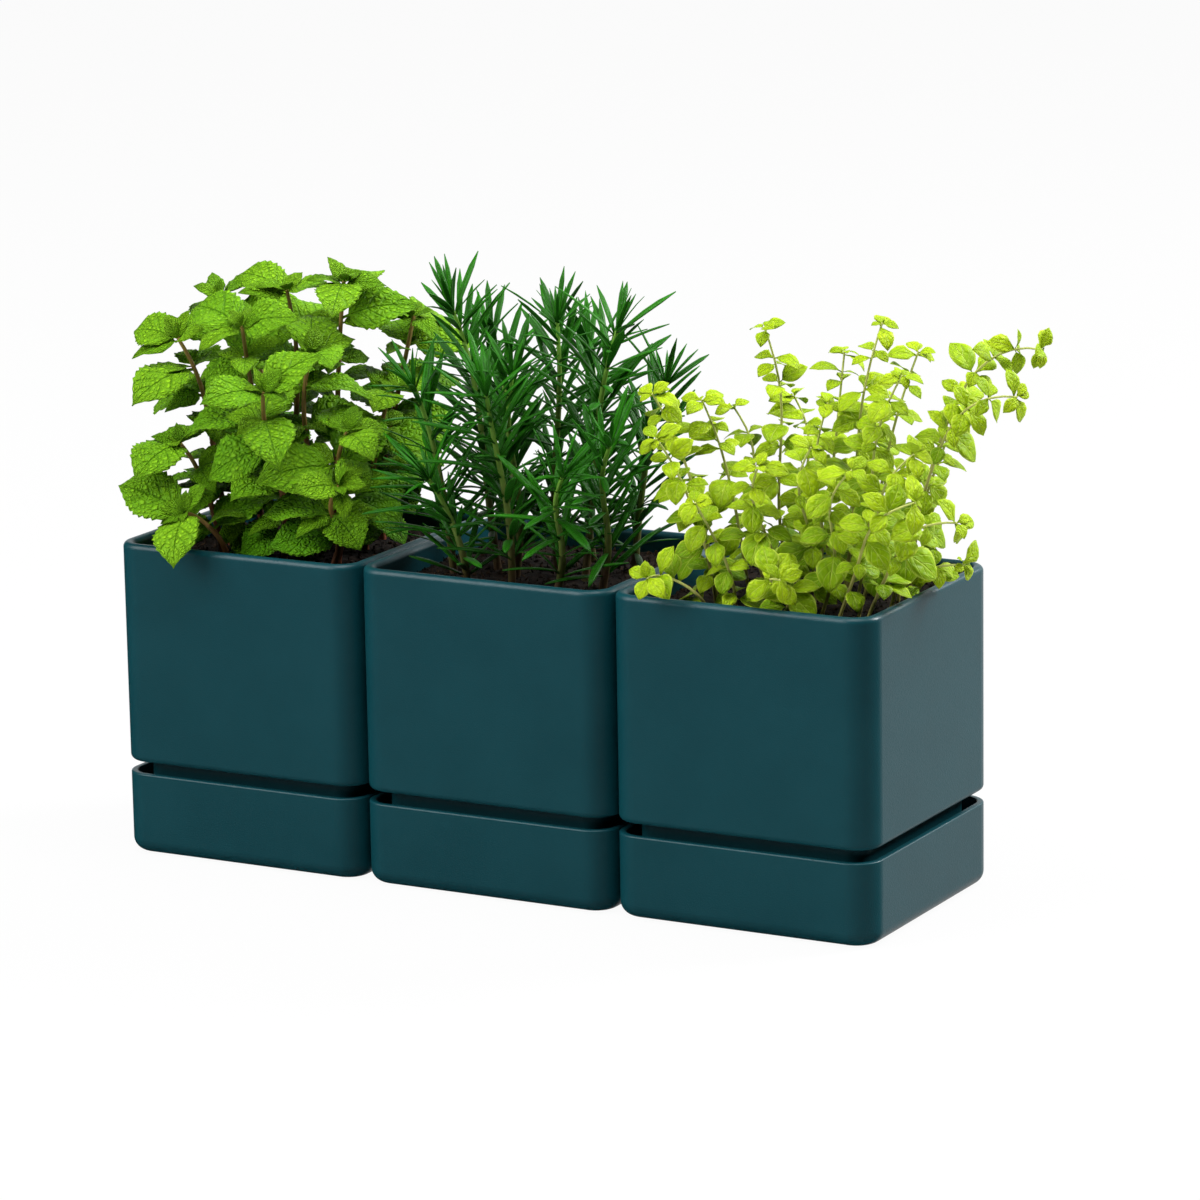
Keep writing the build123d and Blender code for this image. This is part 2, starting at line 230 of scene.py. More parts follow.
# %% Hang the lamps
Lamp = namedtuple("Lamp", "name place target size power")
LAMPS = (Lamp("lamp_side", (1.5, 1.5, 1.6), (0.18, 0.0, 0.08), 0.8, 84.0),
         Lamp("lamp_front", (-1.5, -1.6, 1.7), (0.0, 0.0, 0.15), 2.0, 76.0),
         Lamp("lamp_above", (0.3, -0.2, 2.1), (0.0, 0.0, 0.15), 1.6, 50.0))
for lamp in LAMPS:
    light = bpy.data.lights.new(lamp.name, "AREA")
    light.size = lamp.size
    light.energy = lamp.power
    holder = bpy.data.objects.new(lamp.name, light)
    holder.location = lamp.place
    beam = Vector(lamp.target) - Vector(lamp.place)
    holder.rotation_euler = beam.to_track_quat("-Z", "Y").to_euler()
    scene.collection.objects.link(holder)
scene.view_settings.view_transform = "Standard"
print(len(LAMPS), "lamps")

# %% [markdown]
# Grain of a moulded surface
# Matte plastic is never one flat colour. Its skin has a fine grain, under a millimetre, and slow clouds of
# lighter and darker pigment. An image could give both, but noise has no seams and no end. Leaves, bark and
# soil need the same two sizes of unevenness, so they are made once, as a shader node group that reads
# Object coordinates and puts out two values.

# %% Build the grain group
GRAIN_DETAIL = {"Fine": 2.0, "Cloud": 4.0}
GRAIN_ROUGHNESS = 0.55


def new_tree(kind, name, inputs, outputs):
    tree = bpy.data.node_groups.new(name, kind)
    for label, socket_kind, value in inputs:
        socket = tree.interface.new_socket(label, in_out="INPUT", socket_type="NodeSocket" + socket_kind)
        if value is not None:
            socket.default_value = value
    for label, socket_kind in outputs:
        tree.interface.new_socket(label, in_out="OUTPUT", socket_type="NodeSocket" + socket_kind)
    return tree, add_node(tree, "NodeGroupInput").outputs, add_node(tree, "NodeGroupOutput").inputs


def value_group(name, inputs, outputs):
    floats = [(label, "Float", None) for label in inputs]
    return new_tree("ShaderNodeTree", name, floats, [(label, "Float") for label in outputs])


grain_group, came_in, goes_out = value_group(
    "two_size_grain", ("Fine scale", "Cloud scale"), ("Fine", "Cloud"))
place = add_node(grain_group, "ShaderNodeTexCoord").outputs["Object"]
for size_name, detail in GRAIN_DETAIL.items():
    speckle = output_of(grain_group, "ShaderNodeTexNoise", {
        "Vector": place, "Scale": came_in[size_name + " scale"], "Detail": detail,
        "Roughness": GRAIN_ROUGHNESS})
    grain_group.links.new(speckle, goes_out[size_name])


def place_grain(tree, fine, cloud):
    scales = {"Fine scale": fine, "Cloud scale": cloud}
    return add_node(tree, "ShaderNodeGroup", scales, node_tree=grain_group).outputs


print("grain in", len(GRAIN_DETAIL), "sizes")

# %% [markdown]
# Teal plastic
# Pots and trays are moulded in one dark teal. Their shapes are the CAD's own, and only the material is made
# here. The clouds move the colour a little, the grain breaks up the sheen, and a soft bump from the same
# grain gives the fine tooth that catches light along the rims. As real relief, a grain so fine would take
# millions of faces.

# %% Finish the pots and the trays
TEAL_DEEP, TEAL_PALE = (0.0012, 0.044, 0.056, 1.0), (0.0020, 0.049, 0.062, 1.0)
SMOOTH_SPOT, ROUGH_SPOT = 0.32, 0.42
UNITS = ("left", "middle", "right")


def mix_colours(tree, factor, first, second):
    return output_of(tree, "ShaderNodeMix", {"Factor": factor, "A": first, "B": second}, data_type="RGBA")


def bump(tree, height, shader, strength, distance):
    relief = {"Strength": strength, "Distance": distance, "Height": height}
    tree.links.new(output_of(tree, "ShaderNodeBump", relief), shader.inputs["Normal"])


teal, tree, shader = new_finish("teal_plastic", roughness=0.4, specular=0.3)
grain = place_grain(tree, fine=1500.0, cloud=24.0)
colour = mix_colours(tree, ramp_node(tree, grain["Cloud"], low=0.3, high=0.7), TEAL_DEEP, TEAL_PALE)
tree.links.new(colour, shader.inputs["Base Color"])
sheen = ramp_node(tree, grain["Fine"], low=0.25, high=0.75, start=SMOOTH_SPOT, end=ROUGH_SPOT)
tree.links.new(sheen, shader.inputs["Roughness"])
bump(tree, grain["Fine"], shader, strength=0.3, distance=0.0003)
for unit in UNITS:
    for node_name in ("tray_" + unit, "pot_" + unit):
        moulding = frame["nodes"][node_name]
        moulding.data.materials.clear()
        moulding.data.materials.append(teal)
print("finished", 2 * len(UNITS), "mouldings")

# %% [markdown]
# Sprigs
# Stems and leaves must stand where the CAD's sprigs stand. They could be measured on the CAD's meshes, but
# a short list says more of what each one does, so the same list and the same growth rule are written here.
# A sprig is given by its foot on the soil, its tip, how early it bends, its pairs of leaves and the turn of
# its first pair, in millimetres and degrees from the middle of its pot.

# %% List the sprigs
MINT_SPRIGS = (
    ((-34, -6), (-58, -6, 89), 0.62, 6, 0),
    ((-28, 12), (-50, 16, 104), 0.62, 6, 60),
    ((-8, -14), (-14, -23, 100), 0.60, 6, 100),
    ((-4, 6), (-10, 8, 111), 0.55, 6, 35),
    ((10, 10), (16, 13, 116), 0.55, 6, 75),
    ((22, 30), (33, 43, 97), 0.60, 6, 20),
    ((8, -30), (7, -41, 76), 0.62, 5, 50),
    ((-24, -28), (-39, -36, 49), 0.60, 4, 80),
    ((28, -18), (38, -24, 58), 0.60, 4, 10),
    ((-26, 30), (-46, 40, 70), 0.60, 5, 45),
    ((24, 12), (36, 17, 68), 0.60, 4, 65),
    ((6, -8), (13, -11, 88), 0.58, 5, 25),
    ((-14, -40), (-26, -54, 23), 0.75, 3, 135),
    ((34, -32), (44, -42, 38), 0.60, 3, 30))

ROSEMARY_SPRIGS = (
    ((-24, 0), (-43, 0, 109), 0.60, 13, 0),
    ((-34, -20), (-47, -27, 80), 0.60, 10, 30),
    ((0, -30), (-6, -38, 82), 0.62, 10, 60),
    ((2, 6), (3, 8, 106), 0.55, 13, 15),
    ((22, -6), (39, -6, 107), 0.55, 13, 50),
    ((34, 16), (47, 22, 80), 0.60, 10, 25),
    ((-28, 26), (-44, 34, 90), 0.60, 10, 70),
    ((6, 30), (2, 38, 90), 0.60, 10, 5),
    ((24, -34), (34, -46, 52), 0.60, 7, 40),
    ((-18, -36), (-30, -46, 46), 0.60, 7, 80),
    ((-8, -12), (-7, -14, 86), 0.58, 10, 45),
    ((38, -20), (50, -34, 64), 0.60, 8, 20))

OREGANO_SPRIGS = (
    ((-28, -22), (-50, -35, 88), 0.60, 8, 20),
    ((-22, -34), (-42, -47, 72), 0.62, 6, 70),
    ((-18, -12), (-35, -20, 84), 0.58, 7, 40),
    ((-12, 14), (-25, 18, 109), 0.55, 8, 10),
    ((-26, 18), (-45, 28, 72), 0.60, 6, 60),
    ((-10, 30), (-23, 41, 76), 0.60, 6, 30),
    ((8, 8), (15, 12, 103), 0.55, 8, 80),
    ((20, -1), (38, 0, 118), 0.55, 8, 50),
    ((30, -10), (54, -15, 100), 0.60, 8, 15),
    ((22, 18), (42, 26, 102), 0.58, 7, 45),
    ((38, 14), (100, 20, 108), 0.98, 8, 75),
    ((44, -6), (103, -11, 94), 0.95, 7, 25),
    ((38, -24), (68, -34, 72), 0.70, 6, 55),
    ((46, -34), (88, -36, 46), 0.95, 5, 35),
    ((36, -40), (76, -50, 56), 0.80, 6, 65),
    ((24, -30), (46, -46, 66), 0.65, 6, 5),
    ((12, -22), (24, -38, 72), 0.60, 6, 85),
    ((2, -34), (4, -46, 64), 0.60, 6, 12),
    ((-10, -40), (-22, -52, 48), 0.62, 5, 42),
    ((-20, -45), (-37, -66, 18), 0.95, 5, 72),
    ((10, -8), (18, -10, 85), 0.55, 6, 22),
    ((8, 28), (15, 40, 72), 0.60, 6, 52),
    ((46, 6), (74, 1, 20), 0.95, 4, 82),
    ((34, 34), (52, 44, 74), 0.60, 6, 2),
    ((12, -44), (22, -63, 22), 0.92, 5, 32))

print(len(MINT_SPRIGS), "of mint,", len(ROSEMARY_SPRIGS), "of rosemary,", len(OREGANO_SPRIGS), "of oregano")

# %% [markdown]
# Habits of the three herbs
# What sets the herbs apart is a table with one column a herb, so that they can be compared. Lengths are in
# millimetres and angles in degrees. Later tables for leaf shapes and colours have the same columns.

# %% List the herbs
HERB_NAMES = ("mint", "rosemary", "oregano")


def by_herb(label, **table):
    kind = namedtuple(label, table)
    return {name: kind(*column) for name, column in zip(HERB_NAMES, zip(*table.values()))}


Sprig = namedtuple("Sprig", "foot tip arch pairs turn")
SPRIGS = [[Sprig(*row) for row in rows] for rows in (MINT_SPRIGS, ROSEMARY_SPRIGS, OREGANO_SPRIGS)]
HERBS = tuple(by_herb(
    "Herb", name=HERB_NAMES, sprigs=SPRIGS, unit=UNITS,
    free_left=(True, False, False), free_right=(False, False, True), stem_foot=(1.5, 1.7, 0.75),
    stem_tip=(0.8, 0.8, 0.4), sway=(2.5, 2.0, 4.0), first_pair=(0.20, 0.10, 0.16),
    leaf_length=(38.0, 40.0, 19.5), leaf_width=(27.0, 4.2, 13.0), petiole=(0.12, 0.04, 0.18),
    cup=(0.08, 0.0, 0.0), droop=(84.0, 30.0, 88.0), sunward=(2.0, 0.5, 2.6), unruly=(18.0, 16.0, 26.0),
    smallest=(0.70, 0.76, 0.50), rise_low=(16.0, 36.0, 8.0), rise_top=(28.0, 58.0, 30.0),
    size_low=(0.96, 0.80, 1.0), size_top=(0.84, 0.72, 0.52), room=(3.2, 2.9, 2.4)).values())
print({herb.name: herb.leaf_length for herb in HERBS}, "mm long leaves")


# %% [markdown]
# The line of a stem
# A stem is a bent line between its foot and its tip. It could be drawn by hand as a curve, but it has to
# follow the CAD's stem, so it is reckoned as a curve with one handle, which sets how early it bends. A long
# arching stem has a higher handle. A slow sway to both sides keeps stems from looking ruled. A number t
# runs from 0 at the foot to 1 at the tip.

# %% Draw a stem as a line
BEND_OUT, ARCHING, ARCH_OUT, ARCH_LIFT = 0.22, 0.9, 0.34, 1.1
NEARBY = 0.01


def unit_vector(v):
    return v / np.linalg.norm(v)


def stem_side(sprig):
    lean = np.array([sprig.tip[0] - sprig.foot[0], sprig.tip[1] - sprig.foot[1], 0.0])
    return unit_vector(np.cross([0.0, 0.0, 1.0], lean))


def stem_point(herb, sprig, t):
    foot, tip = np.array([*sprig.foot, 0.0]), np.array(sprig.tip, dtype=float)
    handle = [BEND_OUT, BEND_OUT, sprig.arch]
    if sprig.arch > ARCHING:
        handle = [ARCH_OUT, ARCH_OUT, sprig.arch * ARCH_LIFT]
    bend = foot + (tip - foot) * np.array(handle)
    arc = foot * (1 - t) ** 2 + bend * 2 * t * (1 - t) + tip * t ** 2
    return arc + stem_side(sprig) * herb.sway * math.sin(2 * math.pi * t)


def stem_direction(herb, sprig, t):
    return unit_vector(stem_point(herb, sprig, t + NEARBY) - stem_point(herb, sprig, t - NEARBY))


print("first stem's top", [round(float(v), 1) for v in stem_point(HERBS[0], HERBS[0].sprigs[0], 1.0)], "mm")

# %% [markdown]
# The line of a leaf
# A leaf starts on the stem's axis, leans out by its rise, droops to its tip and turns its upper side to the
# window. A free curve could follow that, but an arc needs only three directions and one angle. Points
# spread over the blade later tell whether there is room for it.

# %% Draw a leaf as an arc
Leaf = namedtuple("Leaf", "base ahead above across length half_width bend")
WINDOW = np.array([0.45, -0.86, 0.24])
SUN_RISE, SUN_DROOP = math.radians(12.0), 0.35
SKYWARD = np.array([0.0, 0.0, 0.8])
TEST_ROWS, TEST_COLUMNS, FIRST_ROW, LAST_ROW, NARROW = 12, 7, 0.4, 0.55, 2.0
OUTLINE_LEAN, OUTLINE_BLUNT, ALMOST_TIP = 0.78, 0.8, 0.999


def leaf_at(herb, sprig, t, turn, rise, droop, sun, size, shorten):
    along = stem_direction(herb, sprig, t)
    side = stem_side(sprig)
    front = unit_vector(np.cross(along, side))
    outward = side * math.cos(turn) + front * math.sin(turn)
    lean = np.dot(outward, WINDOW)
    rise = rise - SUN_RISE * lean
    ahead = outward * math.cos(rise) + along * math.sin(rise)
    upward = unit_vector(along + SKYWARD + sun * WINDOW)
    above = unit_vector(upward - ahead * np.dot(upward, ahead))
    across = np.cross(ahead, above)
    length = herb.leaf_length * size * shorten
    half_width = herb.leaf_width * size * math.sqrt(shorten) / 2
    bend = droop * (1 - SUN_DROOP + SUN_DROOP * lean)
    return Leaf(stem_point(herb, sprig, t), ahead, above, across, length, half_width, bend)


def midrib(leaf, s):
    a = leaf.bend * s
    arc = leaf.ahead * math.sin(a) - leaf.above * (1 - math.cos(a))
    return leaf.base + leaf.length / leaf.bend * arc, leaf.above * math.cos(a) + leaf.ahead * math.sin(a)


def leaf_points(herb, leaf):
    points = []
    for row in range(TEST_ROWS):
        blade = (row + FIRST_ROW) / (TEST_ROWS - LAST_ROW)
        place, above = midrib(leaf, herb.petiole + (1 - herb.petiole) * min(blade, 1.0))
        outline = math.sin(math.pi * min(blade, ALMOST_TIP) ** OUTLINE_LEAN)
        half = leaf.half_width * outline ** OUTLINE_BLUNT
        for v in (np.linspace(-1, 1, TEST_COLUMNS) if half > NARROW else (0.0,)):
            points.append(place + leaf.across * half * v + above * abs(half * v) * herb.cup)
    return np.array(points)


print("a leaf is tested at up to", TEST_ROWS * TEST_COLUMNS, "points")

# %% [markdown]
# Room for a leaf
# Leaves of one sprig may touch, but each keeps clear of the next unit, the soil, the rim and every other
# sprig. Its points are measured only against those that it could reach, which saves most of the work.

# %% Test the room for a leaf
POT_WIDTH, POT_WALL, UNIT_GAP, SOIL_BELOW_RIM = 120.0, 5.0, 0.8, 8.0
SOIL_ROOM, RIM_ROOM, NEIGHBOUR_ROOM = 1.0, 1.5, 0.3
POT_INSIDE = POT_WIDTH - 2 * POT_WALL
INNER_REACH = POT_WIDTH / 2 + UNIT_GAP / 2 - NEIGHBOUR_ROOM


def past_unit(herb, x, limit):
    return (not herb.free_left and x.min() < -limit) or (not herb.free_right and x.max() > limit)


def has_room(herb, leaf, points, others, room):
    x, y, z = points[:, 0], points[:, 1], points[:, 2]
    if past_unit(herb, x, INNER_REACH):
        return False
    reach = np.maximum(abs(x), abs(y))
    inside = reach < POT_WIDTH / 2 + RIM_ROOM
    if (z[inside] < SOIL_ROOM).any():
        return False
    over_wall = inside & (reach > POT_INSIDE / 2 - RIM_ROOM)
    if (z[over_wall] < SOIL_BELOW_RIM + RIM_ROOM).any():
        return False
    near = others[np.linalg.norm(others - leaf.base, axis=1) < leaf.length + room]
    if len(near) == 0:
        return True
    return np.linalg.norm(points[:, None, :] - near[None, :, :], axis=2).min() > room


def neighbours(n, stems, taken):
    leaves = [points for m, sprig_points in enumerate(taken) if m != n for points in sprig_points]
    return np.concatenate(stems[:n] + stems[n + 1:] + leaves)


print({herb.name: herb.room for herb in HERBS}, "mm between sprigs")

# %% [markdown]
# How a sprig grows
# Mint, rosemary and oregano are cousins with one habit: leaves stand in pairs, and each pair crosses the
# one below. Leaves could be set one by one, but a rule with fixed dice is short and grows the same plant
# each time. The tips grow first, then the next pairs down. A leaf that has no room turns aside, stays short
# or isn't grown.

# %% Grow the leaves
SIDESTEPS = ((0, 1), (28, 1), (-28, 1), (0, 0.8), (50, 0.9), (-50, 0.9), (0, 0.62), (30, 0.6), (-30, 0.6))
TOP_PAIR, PAIR_SHIFT, TURN_SHIFT = 0.995, 0.3, 20
LEAST_DROOP, MOST_DROOP, STIFF_TIP, LARGEST = 0.55, 1.3, 0.4, 1.08
STEM_POINTS = 60


def grow(herb):
    dice = random.Random(len(herb.sprigs) + int(herb.leaf_length))
    steps = np.linspace(0, 1, STEM_POINTS)
    stems = [np.array([stem_point(herb, sprig, t) for t in steps]) for sprig in herb.sprigs]
    grown, taken = [[] for sprig in herb.sprigs], [[] for sprig in herb.sprigs]
    for level in range(max(sprig.pairs for sprig in herb.sprigs)):
        for n, sprig in enumerate(herb.sprigs):
            pair = sprig.pairs - 1 - level
            if pair < 0:
                continue
            share = pair / (sprig.pairs - 1)
            gap = (TOP_PAIR - herb.first_pair) / (sprig.pairs - 1)
            t = herb.first_pair + gap * (pair + (dice.uniform(-PAIR_SHIFT, PAIR_SHIFT) if level else 0.0))
            rise = herb.rise_low + (herb.rise_top - herb.rise_low) * share ** 2
            size = herb.size_low + (1.0 - herb.size_low) * math.sin(math.pi * share)
            size = size + (herb.size_top - herb.size_low) * share ** 4
            others = neighbours(n, stems, taken)
            for side in (0, 1):
                turn = sprig.turn + 90 * pair + 180 * side + dice.uniform(-TURN_SHIFT, TURN_SHIFT)
                tilt = math.radians(rise + dice.uniform(-herb.unruly, herb.unruly))
                sag = herb.droop * dice.uniform(LEAST_DROOP, MOST_DROOP)
                droop = math.radians(sag * (1 - STIFF_TIP * share ** 2))
                sun = herb.sunward * dice.uniform(0.0, 1.0)
                grade = size * dice.uniform(herb.smallest, LARGEST)
                for aside, shorten in SIDESTEPS:
                    way = math.radians(turn + aside)
                    leaf = leaf_at(herb, sprig, t, way, tilt, droop, sun, grade, shorten)
                    points = leaf_points(herb, leaf)
                    if has_room(herb, leaf, points, others, herb.room):
                        grown[n].append((leaf, share))
                        taken[n].append(points)
                        break
    return [pair for leaves in grown for pair in leaves], stems, taken


growth = {herb.name: grow(herb) for herb in HERBS}
print({name: len(grown[0]) for name, grown in growth.items()}, "leaves")

# %% [markdown]
# Young leaves
# A living sprig also carries small leaves: a bud of upright ones at its tip and a few in the corner of
# each older leaf. They are too small to matter to the CAD solids, so they are grown here only, by the same
# rule and with less room.

# %% Grow the young leaves
YOUNG = by_herb(
    "Young", buds=(4, 6, 2), bud_size=(0.32, 0.55, 0.46), bud_rise=(58.0, 74.0, 30.0), axils=(3, 4, 2),
    axil_size=(0.52, 0.70, 0.62), axil_rise=(26.0, 46.0, 20.0), droop=(56.0, 26.0, 70.0),
    room=(1.2, 0.8, 0.8), width=(0.78, 0.9, 0.9))
YOUNG_SEED, BUD_TURN, TOP_AXIL, ABOVE_AXIL = 5, 20, 0.97, 0.012
YOUNG_SIZES, YOUNG_TURNS, YOUNG_TILTS, YOUNG_DROOPS = (0.7, 1.2), (-30, 30), (-14, 14), (0.5, 1.4)
YOUNG_AGE, YOUNG_AGE_RISE = 0.6, 0.4


def young_places(herb, sprig, young):
    for k in range(young.buds):
        yield TOP_PAIR, sprig.turn + 360.0 / young.buds * k + BUD_TURN, young.bud_rise, young.bud_size, 1.0
    for pair in range(sprig.pairs):
        share = pair / (sprig.pairs - 1)
        t = herb.first_pair + (TOP_AXIL - herb.first_pair) * share + ABOVE_AXIL
        for side in range(young.axils):
            turn = sprig.turn + 90 * pair + 360 / young.axils * side + 90
            yield t, turn, young.axil_rise, young.axil_size, share


def grow_young(herb, stems, taken):
    young = YOUNG[herb.name]
    dice = random.Random(YOUNG_SEED)
    grown = []
    for n, sprig in enumerate(herb.sprigs):
        others = neighbours(n, stems, taken)
        for t, turn, rise, size, share in young_places(herb, sprig, young):
            size = size * dice.uniform(*YOUNG_SIZES)
            turn = math.radians(turn + dice.uniform(*YOUNG_TURNS))
            tilt = math.radians(rise + dice.uniform(*YOUNG_TILTS))
            droop = math.radians(young.droop * dice.uniform(*YOUNG_DROOPS))
            sun = herb.sunward * dice.uniform(0.0, 1.0)
            leaf = leaf_at(herb, sprig, t, turn, tilt, droop, sun, size, 1.0)
            points = leaf_points(herb, leaf)
            if has_room(herb, leaf, points, others, young.room):
                grown.append((leaf, YOUNG_AGE + YOUNG_AGE_RISE * share))
                taken[n].append(points)
    return grown


young_growth = {herb.name: grow_young(herb, *growth[herb.name][1:]) for herb in HERBS}
print({name: len(grown) for name, grown in young_growth.items()}, "young leaves")

# %% [markdown]
# Shape of one leaf
# A mint leaf has saw teeth and veins that sink between swollen puckers, an oregano leaf is a plain oval, and
# a rosemary needle rolls its edges under. Each could be sculpted, but one rule can make all three: the
# outline is a raised sine, the teeth are a saw along it, and sines in both directions give the relief. A
# leaf is 1 long here, and s runs along it and v across it.

# %% Shape the two sides of a leaf
LOOKS = by_herb(
    "Look", rows=(30, 6, 8), cols=(8, 4, 4), width=[herb.leaf_width / herb.leaf_length for herb in HERBS],
    lean=(0.70, 1.00, 0.78), base_blunt=(0.55, 0.42, 0.60), tip_blunt=(1.10, 0.34, 0.90),
    stalk=(0.016, 0.014, 0.016), thickness=(0.009, 0.013, 0.010), rib=(0.014, 0.005, 0.014),
    cup=(0.10, 0.0, 0.12), roll=(0.0, 0.50, 0.0), teeth=(0.17, 0.0, 0.0), tooth_count=(10, 1, 1),
    pucker=(0.022, 0.0, 0.006), veins=(6, 1, 4), slant=(0.30, 0.0, 0.45), wave=(0.045, 0.004, 0.020))
YOUNG_LOOKS = {"mint": LOOKS["mint"]._replace(rows=12, cols=4, tooth_count=4),
               "rosemary": LOOKS["rosemary"]._replace(rows=4),
               "oregano": LOOKS["oregano"]._replace(rows=5)}
TIP_HALF, RIB_HALF, GROOVE_HALF, GROOVE_DEPTH, WAVE_TURNS, TOOTH_POWER = 0.003, 0.2, 0.16, 0.6, 7.0, 4
PLAIN_SWELL, BUBBLE_SWELL, BUBBLES_ACROSS, BUBBLES_ALONG = 0.6, 0.4, 2.5, 5.0
VEIN_POWER, FLAT_EDGE = 0.7, 0.5


def leaf_surface(look, petiole, bend, wave_start):
    s, v = np.meshgrid(np.linspace(0, 1, look.rows + 1), np.linspace(-1, 1, look.cols + 1), indexing="ij")
    blade = np.clip((s - petiole) / (1 - petiole), 0.0, 1.0)
    blunt = look.base_blunt + (look.tip_blunt - look.base_blunt) * blade
    half = look.width / 2 * np.abs(np.sin(np.pi * blade ** look.lean)) ** blunt
    saw = 2 * abs((blade * look.tooth_count) % 1.0 - 0.5)
    half = half * (1 + look.teeth * (saw - 0.5) * abs(v) ** TOOTH_POWER)
    half = np.maximum(half, np.where(blade > 0.5, TIP_HALF, look.stalk))
    y = half * v
    swell = np.sin(np.pi * blade) ** 0.5
    vein = abs(np.sin(np.pi * (blade - look.slant * abs(v)) * look.veins))
    ripple = abs(np.sin(BUBBLES_ACROSS * np.pi * abs(v) + BUBBLES_ALONG * blade))
    bubble = PLAIN_SWELL + BUBBLE_SWELL * ripple
    puckers = look.pucker * swell * vein ** VEIN_POWER * bubble * (1 - FLAT_EDGE * v ** 2)
    groove = GROOVE_DEPTH * look.rib * np.exp(-(v / GROOVE_HALF) ** 2) * (1 - blade)
    wave = look.wave * np.sin(WAVE_TURNS * blade + wave_start) * v * abs(v) * swell
    z = puckers - groove + look.cup * abs(y) - look.roll * y * y / look.width + wave
    thick = look.thickness + look.rib * np.exp(-(v / RIB_HALF) ** 2) * (1 - s)
    a = bend * s
    centre = np.stack([np.sin(a) / bend, np.zeros_like(a), -(1 - np.cos(a)) / bend], axis=-1)
    normal = np.stack([np.sin(a), np.zeros_like(a), np.cos(a)], axis=-1)
    sideways = np.array([0.0, 1.0, 0.0])
    upper = centre + sideways * y[..., None] + normal * z[..., None]
    return upper, upper - normal * thick[..., None], s, v


print({name: look.rows * look.cols for name, look in LOOKS.items()}, "faces on a leaf's upper side")

# %% [markdown]
# Closing the shell
# A leaf is a thin closed shell, thicker along its midrib. A Solidify modifier would give it one thickness
# all over. So the upper side is a grid, the under side is the same grid set back by the leaf's thickness
# at each point, and a strip round the edge joins them. UV coordinates run along and across the blade, so a
# material can draw veins on it. A value called beneath tells the two sides apart.

# %% Close a leaf
def grid_faces(rows, cols):
    corners = [i * (cols + 1) + j for i in range(rows) for j in range(cols)]
    return [(k, k + cols + 1, k + cols + 2, k + 1) for k in corners]


def grid_edge(rows, cols):
    edge = [(0, j) for j in range(cols)] + [(i, cols) for i in range(rows)]
    return edge + [(rows, j) for j in range(cols, 0, -1)] + [(i, 0) for i in range(rows, 0, -1)]


def carry(piece, label, kind, values):
    key = "vector" if kind == "FLOAT_VECTOR" else "value"
    piece.data.attributes.new(label, kind, "POINT").data.foreach_set(key, values)


def leaf_shape(name, look, petiole, bend, wave_start):
    upper, under, s, v = leaf_surface(look, petiole, bend, wave_start)
    count = s.size
    faces = []
    for quad in grid_faces(look.rows, look.cols):
        faces += [quad, tuple(count + k for k in reversed(quad))]
    edge = [i * (look.cols + 1) + j for i, j in grid_edge(look.rows, look.cols)]
    faces += [(a, b, count + b, count + a) for a, b in zip(edge, edge[1:] + edge[:1])]
    piece = mesh_object(name, np.concatenate([upper.reshape(-1, 3), under.reshape(-1, 3)]), [], faces)
    flat = np.stack([s.ravel(), (v.ravel() + 1) / 2], axis=-1)
    flat = np.concatenate([flat, flat])
    uv = piece.data.uv_layers.new(name="UVMap")
    corners = np.array([loop.vertex_index for loop in piece.data.loops])
    uv.data.foreach_set("uv", flat[corners].astype(np.float32).ravel())
    carry(piece, "beneath", "FLOAT", np.repeat([0.0, 1.0], count).astype(np.float32))
    return piece


print("an edge strip of", len(grid_edge(LOOKS["mint"].rows, LOOKS["mint"].cols)), "faces on mint")

# %% [markdown]
# Leaves by Geometry Nodes
# Hundreds of leaves share a few shapes. A loop could copy them one by one, but this is work for Geometry
# Nodes: each leaf is one point that carries its turn, its size, the number of its shape and its age, and
# the tree sets a leaf shape on every point. Realize Instances makes one plain mesh of them, because the
# export drops instances.

# %% Build the tree that sets leaves
def shape_tree(name, *inputs):
    inputs = (("Geometry", "Geometry", None), *inputs, ("Finish", "Material", None))
    return new_tree("GeometryNodeTree", name, inputs, (("Geometry", "Geometry"),))


def named_value(tree, kind, name):
    return output_of(tree, "GeometryNodeInputNamedAttribute", {"Name": name}, data_type=kind)


def shapes_of(tree, collection):
    apart = {"Collection": collection, "Separate Children": True, "Reset Children": True}
    return output_of(tree, "GeometryNodeCollectionInfo", apart)


def paint_and_end(tree, geometry, finish, goes_out):
    painted = output_of(tree, "GeometryNodeSetMaterial", {"Geometry": geometry, "Material": finish})
    tree.links.new(painted, goes_out["Geometry"])


leaf_tree, came_in, goes_out = shape_tree(
    "set_leaves", ("Leaf shapes", "Collection", None), ("Leaf size", "Float", 1.0))
make = partial(output_of, leaf_tree)
facing = named_value(leaf_tree, "FLOAT_VECTOR", "facing")
extent = named_value(leaf_tree, "FLOAT_VECTOR", "extent")
scaled = {"Vector": extent, "Scale": came_in["Leaf size"]}
placed = make("GeometryNodeInstanceOnPoints", {
    "Points": came_in["Geometry"], "Instance": shapes_of(leaf_tree, came_in["Leaf shapes"]),
    "Pick Instance": True, "Instance Index": named_value(leaf_tree, "INT", "shape"),
    "Rotation": make("FunctionNodeEulerToRotation", {"Euler": facing}),
    "Scale": make("ShaderNodeVectorMath", scaled, operation="SCALE")})
real = make("GeometryNodeRealizeInstances", {"Geometry": placed})
smooth = make("GeometryNodeSetShadeSmooth", {"Geometry": real})
paint_and_end(leaf_tree, smooth, came_in["Finish"], goes_out)
print("leaf tree with", len(leaf_tree.nodes), "nodes")

# %% [markdown]
# Stems by Geometry Nodes
# Mint and its cousins have square stems with soft edges. A curve with a round bevel would be quicker, but
# not square. So the tree turns each line of points into a curve and sweeps a rounded square along it. The
# square is 2 across, so a point's thickness is half the stem's width.

